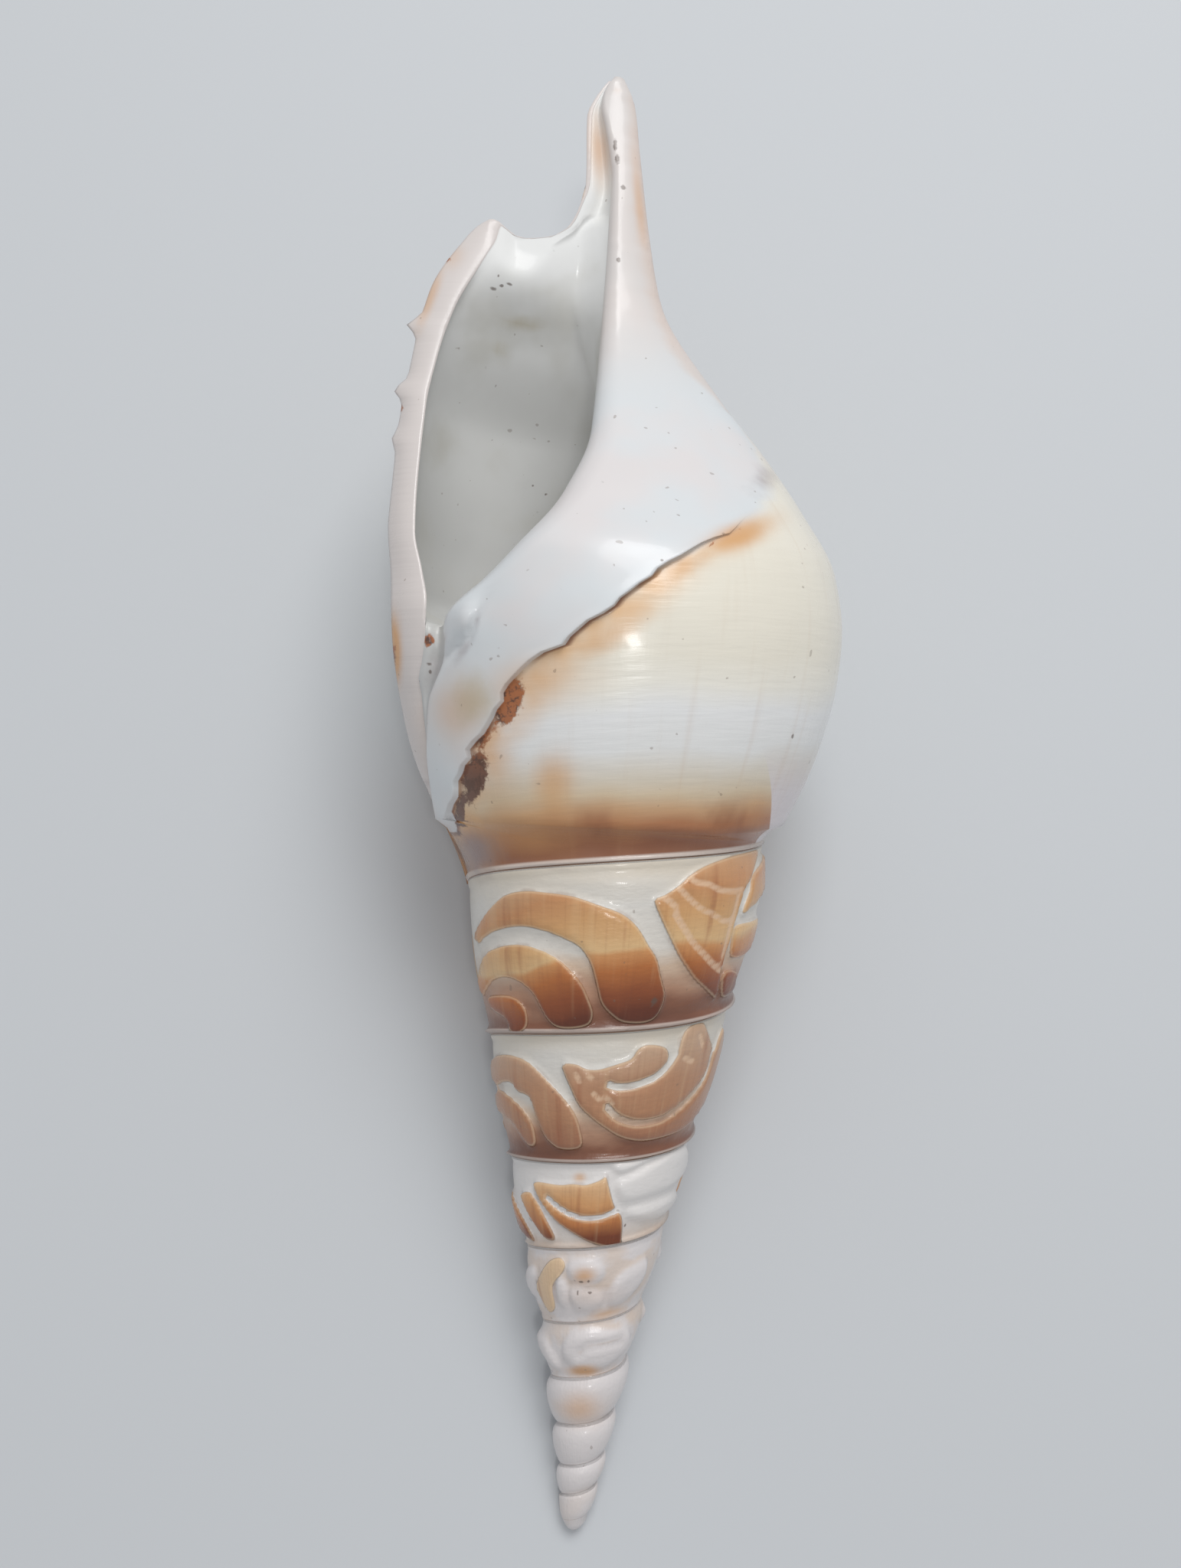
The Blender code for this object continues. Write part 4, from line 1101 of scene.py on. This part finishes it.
def tipping():
    """The turn about X that lays the shell down, as a 3 by 3 array."""
    c, s = math.cos(math.radians(TIP_DEG)), math.sin(math.radians(TIP_DEG))
    return np.array([[1, 0, 0], [0, c, -s], [0, s, c]])


def lay_down(points):
    """Tips the shell, sets it in the middle of the solid's box with its crown at the box's top, and wears
    it flat where it would sink into the floor. It returns the points in metres and the shift used."""
    tipped = points @ tipping().T * MM
    low, high = (np.array(corner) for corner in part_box("shell"))
    shift = (low + high) / 2 - (tipped.min(0) + tipped.max(0)) / 2
    shift[2] = high[2] - tipped[:, 2].max()
    placed = tipped + shift
    placed[:, 2] = np.maximum(placed[:, 2], 0.0)
    return placed, shift


def carved_shell():
    """The whole shell as one closed surface, with the shift that laid it down and the specks' places."""
    surface = Surface()
    seam, strip_end = add_spire(surface)
    add_last_whorl(surface, seam, strip_end)
    points = np.concatenate(surface.points)
    placed, shift = lay_down(points)
    values = {name: np.concatenate(parts) for name, parts in surface.values.items()}
    values.update(stained(points, values["in_mouth"]))
    specks = [
        (placed[nearest_in_photo(points, (x, y))], (wide * MM, long * MM, wide * MM))
        for x, y, wide, long in SPECKS
    ]
    data = bpy.data.meshes.new("carved_shell")
    faces = np.concatenate(surface.quads).tolist() + np.concatenate(surface.triangles).tolist()
    data.from_pydata(placed.tolist(), [], faces)
    data.validate()
    for name, value in values.items():
        layer = data.attributes.new(name, "FLOAT", "POINT")
        layer.data.foreach_set("value", value.astype(np.float32))
    data.shade_smooth()
    shell = bpy.data.objects.new("carved_shell", data)
    bpy.context.scene.collection.objects.link(shell)
    return shell, shift, specks


def tint(red, green, blue):
    """A colour given as it shows on a screen, 0 to 255, as the shader wants it, by the sRGB curve."""
    shown = np.array([red, green, blue]) / 255
    plain = np.where(shown <= 0.04045, shown / 12.92, ((shown + 0.055) / 1.055) ** 2.4)
    return (*plain.tolist(), 1.0)


class Finish:
    """A material's nodes, added one by one. Each call gives the socket that the next one takes."""

    def __init__(self, name):
        self.material = bpy.data.materials.new(name)
        self.material.use_nodes = True
        self.nodes = self.material.node_tree.nodes
        self.links = self.material.node_tree.links
        self.shader = self.nodes["Principled BSDF"]

    def give(self, socket, value):
        """Links a socket to this one, or sets a plain value on it."""
        if isinstance(value, bpy.types.NodeSocket):
            self.links.new(value, socket)
        elif value is not None:
            socket.default_value = value

    def node(self, kind, *inputs, **settings):
        """A node with its inputs given in their order, and its settings by name."""
        node = self.nodes.new(kind)
        for key, value in settings.items():
            setattr(node, key, value)
        for socket, value in zip(node.inputs, inputs):
            self.give(socket, value)
        return node

    def attribute(self, name):
        """What the mesh says under this name."""
        return self.node("ShaderNodeAttribute", attribute_name=name).outputs["Fac"]

    def math(self, operation, *values):
        """The Math node's operation on two values, then on the result and each further value."""
        result = values[0]
        for value in values[1:]:
            result = self.node("ShaderNodeMath", result, value, operation=operation).outputs[0]
        return result

    def times(self, *values):
        """The product of these values."""
        return self.math("MULTIPLY", *values)

    def eased(self, value, low, high):
        """0 at low and 1 at high, with a smooth step between."""
        node = self.node("ShaderNodeMapRange", value, low, high, interpolation_type="SMOOTHSTEP")
        return node.outputs[0]

    def where(self, name, low, high):
        """What the mesh says under this name, eased from low to high."""
        return self.eased(self.attribute(name), low, high)

    def mix(self, share, first, second):
        """The first colour where share is 0, and the second where it is 1."""
        node = self.node("ShaderNodeMix", data_type="RGBA")
        self.give(node.inputs["Factor"], share)
        self.give(node.inputs["A"], first)
        self.give(node.inputs["B"], second)
        return node.outputs["Result"]

    def over(self, colour, name, share, strength=None):
        """The colour with one of COLOURS over it where share is 1, as strong as strength says."""
        if strength is not None:
            share = self.times(share, strength)
        return self.mix(share, colour, tint(*COLOURS[name]))

    def ramp(self, value, stops, reach=1.0):
        """A colour for each value from 0 to reach, through (value, colour) stops."""
        if reach != 1.0:
            value = self.math("DIVIDE", value, reach)
        node = self.node("ShaderNodeValToRGB", value)
        elements = node.color_ramp.elements
        while len(elements) < len(stops):
            elements.new(0.5)
        for element, (place, colour) in zip(elements, stops):
            element.position = place / reach
            element.color = tint(*colour)
        return node.outputs["Color"]

    def noise(self, scale, detail=2.0, roughness=0.5, place=None):
        """A soft noise in the object's own space, or at another place."""
        node = self.node("ShaderNodeTexNoise")
        self.give(node.inputs["Vector"], object_place(self) if place is None else place)
        node.inputs["Scale"].default_value = scale
        node.inputs["Detail"].default_value = detail
        node.inputs["Roughness"].default_value = roughness
        return node.outputs["Fac"]

    def grown(self, per_turn, per_mm, detail):
        """A noise that runs with the growth, so fine along a turn and so fine for each mm above the seam."""
        turns = self.times(self.attribute("turns"), per_turn)
        above = self.times(self.attribute("above_seam"), per_mm)
        place = self.node("ShaderNodeCombineXYZ", turns, above, self.attribute("spire")).outputs[0]
        return self.noise(1.0, detail, place=place)

    def wavy(self, value, noise, reach):
        """The value pushed up and down by a noise."""
        return self.math("ADD", value, self.times(self.math("SUBTRACT", noise, 0.5), reach))


def object_place(finish):
    """Where a point is in the object's own space."""
    return finish.node("ShaderNodeTexCoord").outputs["Object"]


def standing_layer_colour(finish):
    """The layer that was left standing: ochre over red brown on the first whorl, duller on the second,
    ochre to dark red on the third and pale on the fourth, with red streaks along the growth lines."""
    turns = finish.attribute("turns")
    dip = finish.times(finish.eased(turns, *LAYER_DIPS), LAYER_DIP)
    share = finish.wavy(finish.attribute("share"), finish.grown(14.0, 0.25, 2.0), 0.14)
    share = finish.math("ADD", share, dip)
    first, second, third = (finish.ramp(share, stops) for stops in LAYER_COLOURS)
    layer = finish.mix(finish.eased(turns, *SECOND_LAYER), first, second)
    layer = finish.mix(finish.eased(turns, *THIRD_LAYER), layer, third)
    layer = finish.over(layer, "fourth layer", finish.eased(turns, *FOURTH_LAYER))
    streaks = finish.grown(60.0, 0.06, 3.0)
    layer = finish.over(layer, "red streaks", finish.eased(streaks, 0.54, 0.74), 0.4)
    layer = finish.over(layer, "pale streaks", finish.eased(streaks, 0.44, 0.26), 0.16)
    fine = finish.grown(260.0, 0.1, 2.0)
    layer = finish.over(layer, "fine brown lines", finish.eased(fine, 0.5, 0.7), 0.1)
    return finish.over(layer, "scratches", finish.where("incised", -0.16, 0.14), 0.75)


def carved_ground_colour(finish):
    """The white ground that the carver cut down to. On the first two whorls it turns pinkish brown towards
    the seam. The seam's thread is pinkish, and has painted shade below it, in the seam's groove."""
    cloud = finish.grown(9.0, 0.3, 3.0)
    turns, at_seam = finish.attribute("turns"), finish.attribute("share")
    brown, white = (finish.ramp(finish.wavy(at_seam, cloud, 0.3), stops) for stops in GROUND_COLOURS)
    ground = finish.mix(finish.eased(turns, *WHITE_GROUND), brown, white)
    upper = finish.eased(turns, *UPPER_GROUND)
    ground = finish.over(ground, "upper ground", upper)
    thread = finish.times(finish.eased(at_seam, *THREAD_WIDTH), finish.eased(turns, *THREAD_UNTIL))
    ground = finish.over(ground, "thread", thread, 0.7)
    # Painted shade in the seam's groove
    ground = finish.over(ground, "painted shade in the seam", finish.eased(at_seam, 0.014, 0.002), 0.6)
    hollows = finish.times(finish.where("white", 0.1, -0.5), finish.eased(cloud, 0.42, 0.6))
    hollows = finish.times(hollows, upper, finish.eased(turns, *TAN_HOLLOWS_UNTIL))
    return finish.over(ground, "tan in the hollows", hollows, 0.35)


def carved_spire_colour(finish):
    """The layer on its ground, with a patchy dark line along the foot of each cut, a pale top edge, and the
    tan patches of the uncarved tip."""
    standing = finish.attribute("standing")
    # Darker in patches along the foot of each cut
    foot = finish.times(finish.eased(standing, -0.42, -0.1), finish.eased(standing, 0.04, -0.04))
    foot = finish.times(foot, finish.eased(finish.noise(420.0), 0.5, 0.7))
    ground = finish.over(carved_ground_colour(finish), "dark at the foot of a cut", foot, 0.3)
    top_edge = finish.times(finish.eased(standing, -0.05, 0.06), finish.eased(standing, 0.3, 0.08))
    layer = finish.over(standing_layer_colour(finish), "top edge", top_edge, 0.35)
    colour = finish.mix(finish.eased(standing, -0.05, 0.05), ground, layer)
    tip = finish.times(finish.eased(finish.noise(150.0), 0.5, 0.64), finish.where("turns", *TAN_TIP))
    return finish.over(colour, "tan at the tip", tip, 0.14)


def last_whorl_colour(finish):
    """Spiral bands above the seam: brown, orange brown, white, then warm cream. The bands end at a growth
    line on the right, past which the shell is white."""
    above = finish.attribute("above_seam")
    bands = finish.ramp(finish.wavy(above, finish.grown(10.0, 0.12, 2.0), 3.4), BAND_COLOURS, BANDS_REACH)
    blotches = finish.eased(finish.grown(15.0, 0.1, 3.0), 0.5, 0.62)
    bands = finish.over(bands, "blotches", finish.times(blotches, finish.eased(above, *BLOTCHES_BELOW)), 0.6)
    line = finish.math("ADD", finish.attribute("turns"), finish.times(above, BANDS_END_LEAN))
    past = finish.times(finish.eased(line, *BANDS_END), finish.eased(line, *BANDS_END_PAST))
    past = finish.times(past, finish.eased(above, *BANDS_END_BELOW))
    bands = finish.over(bands, "past the growth line", past, 0.92)
    bands = finish.over(bands, "last thread", finish.eased(above, *LAST_THREAD_BELOW))
    fine = finish.grown(90.0, 0.05, 3.0)
    return finish.over(bands, "fine tan lines", finish.eased(fine, 0.52, 0.8), 0.12)


def glow_and_crack_shadow_colour(finish, colour, spire):
    """An orange glow beside the callus's ledge, and a dark line at its foot, partly a real brown line and
    partly painted shadow under the ledge, not on the spire.
    """
    on_callus, above = finish.attribute("on_callus"), finish.attribute("above_seam")
    patchy = finish.noise(200.0)
    low = finish.times(finish.eased(above, *GLOW_BELOW), finish.math("SUBTRACT", 1.0, spire))
    glow = finish.times(finish.eased(on_callus, *GLOW_BESIDE), low, finish.eased(patchy, 0.2, 0.65))
    colour = finish.over(colour, "glow", glow, 0.8)
    # Painted shadow under the ledge, over a real brown line at its foot
    crack_and_shadow = finish.times(finish.eased(on_callus, *CRACK_AND_SHADOW_BESIDE), low, finish.eased(above, *CRACK_AND_SHADOW_BELOW))
    crack_and_shadow = finish.times(crack_and_shadow, finish.eased(patchy, 0.25, 0.55))
    return finish.over(colour, "crack_and_shadow", crack_and_shadow, 0.85)


def callus_colour(finish):
    """Bluish white with pinkish clouds, warmer along the canal, and small grey pits."""
    blue, pink = (tint(*COLOURS[name]) for name in ("bluish callus", "pinkish callus"))
    white = finish.mix(finish.eased(finish.noise(70.0, 3.0), 0.4, 0.65), blue, pink)
    white = finish.over(white, "canal", finish.where("above_seam", *CANAL_COLOUR_ABOVE), 0.7)
    return finish.over(white, "pits", finish.eased(finish.noise(1300.0, 1.0), 0.79, 0.84), 0.25)


def mouth_colour(finish):
    """White at the bay and greyer further in, which is painted shade, with faint clouds and small pits."""
    # The colour deeper in is painted shade, growing towards the seam
    front, deep = (tint(*COLOURS[name]) for name in ("front of the mouth", "painted shade deep in the mouth"))
    white = finish.mix(finish.where("above_seam", *MOUTH_SHADE_BELOW), front, deep)
    clouds = finish.eased(finish.noise(110.0, 3.0), 0.45, 0.75)
    white = finish.over(white, "clouds in the mouth", clouds, 0.5)
    pits = finish.eased(finish.noise(900.0, 1.0), 0.78, 0.84)
    return finish.over(white, "pits in the mouth", pits, 0.25)


def with_stains(finish, colour):
    """Ochre and olive patches, grey wear with painted shade in the furrow and beside the knob, and brown
    crusts with ragged edges over a colour.
    """
    rag, torn = finish.noise(500.0, 4.0, 0.6), finish.noise(950.0, 4.0, 0.7)
    ragged = [("ochre", finish.noise(160.0), 0.3, 0.04, 0.85), ("olive", rag, 0.5, 0.1, 0.6)]
    # Grey is wear, and in the furrow and beside the knob it is painted shade
    for kind, noise, reach, low, strength in [*ragged, ("grey", rag, 0.5, 0.1, 0.8)]:
        patch = finish.eased(finish.wavy(finish.attribute(kind), noise, reach), low, 1.0)
        colour = finish.over(colour, kind, patch, strength)
    brown = finish.eased(finish.wavy(finish.attribute("brown"), torn, 1.5), 0.34, 0.66)
    brown = finish.times(brown, finish.where("on_callus", *CRUST_BESIDE))
    low, high = (tint(*COLOURS[name]) for name in ("low crust", "high crust"))
    crust = finish.mix(finish.where("above_seam", *HIGH_CRUST_ABOVE), low, high)
    crust = finish.over(crust, "dark crust", finish.eased(torn, 0.56, 0.42))
    return finish.mix(finish.times(brown, 0.95), colour, crust)


def with_specks(finish, colour, specks):
    """Small dark specks, each a long round with a ragged edge about its spot, and fine dust."""
    place = object_place(finish)
    fine = finish.noise(2200.0)
    for spot, sizes in specks:
        away = finish.node("ShaderNodeVectorMath", place, tuple(spot), operation="SUBTRACT").outputs[0]
        away = finish.node("ShaderNodeVectorMath", away, sizes, operation="DIVIDE").outputs[0]
        near = finish.node("ShaderNodeVectorMath", away, operation="LENGTH").outputs["Value"]
        colour = finish.over(colour, "specks", finish.eased(finish.wavy(near, fine, 1.6), 1.15, 0.45), 0.75)
    return finish.over(colour, "dust", finish.eased(finish.noise(1500.0, 0.0), 0.83, 0.87), 0.4)


def shell_relief(finish):
    """The bump: growth ridges and fine spiral lines off the callus, soft lumps, the carver's cuts on the
    spire and crisp edges of the standing layer."""
    ridges = finish.times(finish.grown(42.0, 0.1, 4.0), 0.15)
    spiral = finish.times(finish.grown(24.0, 1.6, 3.0), 0.11)
    not_mouth = finish.math("SUBTRACT", 1.0, finish.attribute("in_mouth"))
    outside = finish.times(finish.where("on_callus", *GROWTH_BESIDE), not_mouth)
    grown = finish.times(finish.math("ADD", ridges, spiral), outside)
    lumps = finish.times(finish.noise(130.0), 0.3)
    cuts = finish.times(finish.attribute("spire"), finish.times(finish.grown(110.0, 2.2, 3.0), 0.1))
    edges = finish.times(finish.where("standing", -0.1, 0.1), 0.35)
    bump = finish.node("ShaderNodeBump")
    bump.inputs["Strength"].default_value = BUMP_STRENGTH
    bump.inputs["Distance"].default_value = BUMP_DEPTH * MM
    finish.give(bump.inputs["Height"], finish.math("ADD", grown, lumps, cuts, edges))
    return bump.outputs["Normal"]


def callus_share(finish, canal):
    """1 on the callus and 0 off it. Its edge grows soft and cloudy towards the right, and along the canal
    the white reaches further round."""
    on_callus = finish.attribute("on_callus")
    soft = finish.times(finish.where("above_seam", *CALLUS_SOFT_ABOVE), CALLUS_SOFT)
    blurred = finish.wavy(on_callus, finish.noise(320.0, 3.0), soft)
    outer, inner = CALLUS_COLOUR_EDGE
    low = finish.math("SUBTRACT", outer, soft)
    high = finish.math("ADD", inner, finish.times(soft, 0.7))
    beside = finish.times(canal, finish.eased(on_callus, *CANAL_BESIDE))
    return finish.math("MAXIMUM", finish.eased(blurred, low, high), beside)


def shell_roughness(finish, callus, mouth, spire):
    """Glossy where the shell is polished, duller in the mouth, on the callus and on the carved ground."""
    ground = finish.times(spire, finish.where("standing", 0.05, -0.05))
    worn = finish.times(finish.noise(240.0, 3.0), 0.2)
    duller = [finish.times(mouth, 0.2), finish.times(callus, 0.1), finish.times(ground, 0.08)]
    return finish.math("ADD", POLISHED_ROUGHNESS, worn, *duller)


def polished_shell(specks):
    """Polished shell: the outside's colours, the white callus and rim over them, the mouth and stains."""
    finish = Finish("polished_shell")
    spire = finish.attribute("spire")
    canal = finish.where("above_seam", *CANAL_ABOVE)
    callus = callus_share(finish, canal)
    mouth = finish.where("in_mouth", 0.2, 0.8)
    colour = finish.mix(spire, last_whorl_colour(finish), carved_spire_colour(finish))
    colour = glow_and_crack_shadow_colour(finish, colour, spire)
    colour = finish.mix(callus, colour, callus_colour(finish))
    tinged = finish.times(finish.where("on_callus", *TINGE_BESIDE), canal)
    colour = finish.over(colour, "tinge along the canal", tinged, 0.3)
    colour = finish.mix(mouth, colour, mouth_colour(finish))
    colour = finish.over(colour, "rim", finish.where("across_rim", *RIM_FROM))
    colour = with_specks(finish, with_stains(finish, colour), specks)
    finish.give(finish.shader.inputs["Base Color"], colour)
    finish.give(finish.shader.inputs["Roughness"], shell_roughness(finish, callus, mouth, spire))
    finish.give(finish.shader.inputs["Normal"], shell_relief(finish))
    finish.shader.inputs["Coat Weight"].default_value = COAT_WEIGHT
    finish.shader.inputs["Coat Roughness"].default_value = COAT_ROUGHNESS
    return finish.material


def photo_camera(shift):
    """A camera where the photo was taken from."""
    right, up, ahead = camera_axes()
    turn = tipping()
    axes = np.stack([turn @ right, turn @ up, -(turn @ ahead)], 1)
    spot = turn @ CAMERA_SPOT * MM + shift
    data = bpy.data.cameras.new("photo_camera")
    data.sensor_fit = "VERTICAL"
    data.sensor_height = SENSOR_MM
    data.sensor_width = SENSOR_MM
    data.lens = SENSOR_MM * FOCAL_PX / PHOTO_HEIGHT
    data.clip_start = NEAREST_M
    camera = bpy.data.objects.new("photo_camera", data)
    place = np.eye(4)
    place[:3, :3] = axes
    place[:3, 3] = spot
    camera.matrix_world = Matrix(place.tolist())
    bpy.context.scene.collection.objects.link(camera)
    bpy.context.scene.camera = camera


def pale_floor():
    """A plain square floor."""
    half = FLOOR_HALF
    corners = [(-half, -half, 0), (half, -half, 0), (half, half, 0), (-half, half, 0)]
    data = bpy.data.meshes.new("floor")
    data.from_pydata(corners, [], [(0, 1, 2, 3)])
    floor = bpy.data.objects.new("floor", data)
    bpy.context.scene.collection.objects.link(floor)
    material = bpy.data.materials.new("pale_floor")
    material.use_nodes = True
    shader = material.node_tree.nodes["Principled BSDF"]
    shader.inputs["Base Color"].default_value = FLOOR_COLOUR
    shader.inputs["Roughness"].default_value = FLOOR_ROUGHNESS
    data.materials.append(material)
    return floor


def studio_light():
    """Square lamps that point at the shell, and an even pale sky."""
    for name, spot, size, power in LAMPS:
        light = bpy.data.lights.new(name, "AREA")
        light.size = size
        light.energy = power
        lamp = bpy.data.objects.new(name, light)
        lamp.location = spot
        lamp.rotation_euler = (Vector(LAMPS_AIM) - Vector(spot)).to_track_quat("-Z", "Y").to_euler()
        bpy.context.scene.collection.objects.link(lamp)
    world = bpy.data.worlds.new("studio")
    world.use_nodes = True
    background = world.node_tree.nodes["Background"]
    background.inputs["Color"].default_value = SKY
    background.inputs["Strength"].default_value = SKY_STRENGTH
    bpy.context.scene.world = world
    bpy.context.scene.view_settings.view_transform = "Standard"


shell, shift, specks = carved_shell()
shell.data.materials.append(polished_shell(specks))
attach(shell, "root")
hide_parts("shell")
photo_camera(shift)
floor = pale_floor()
studio_light()
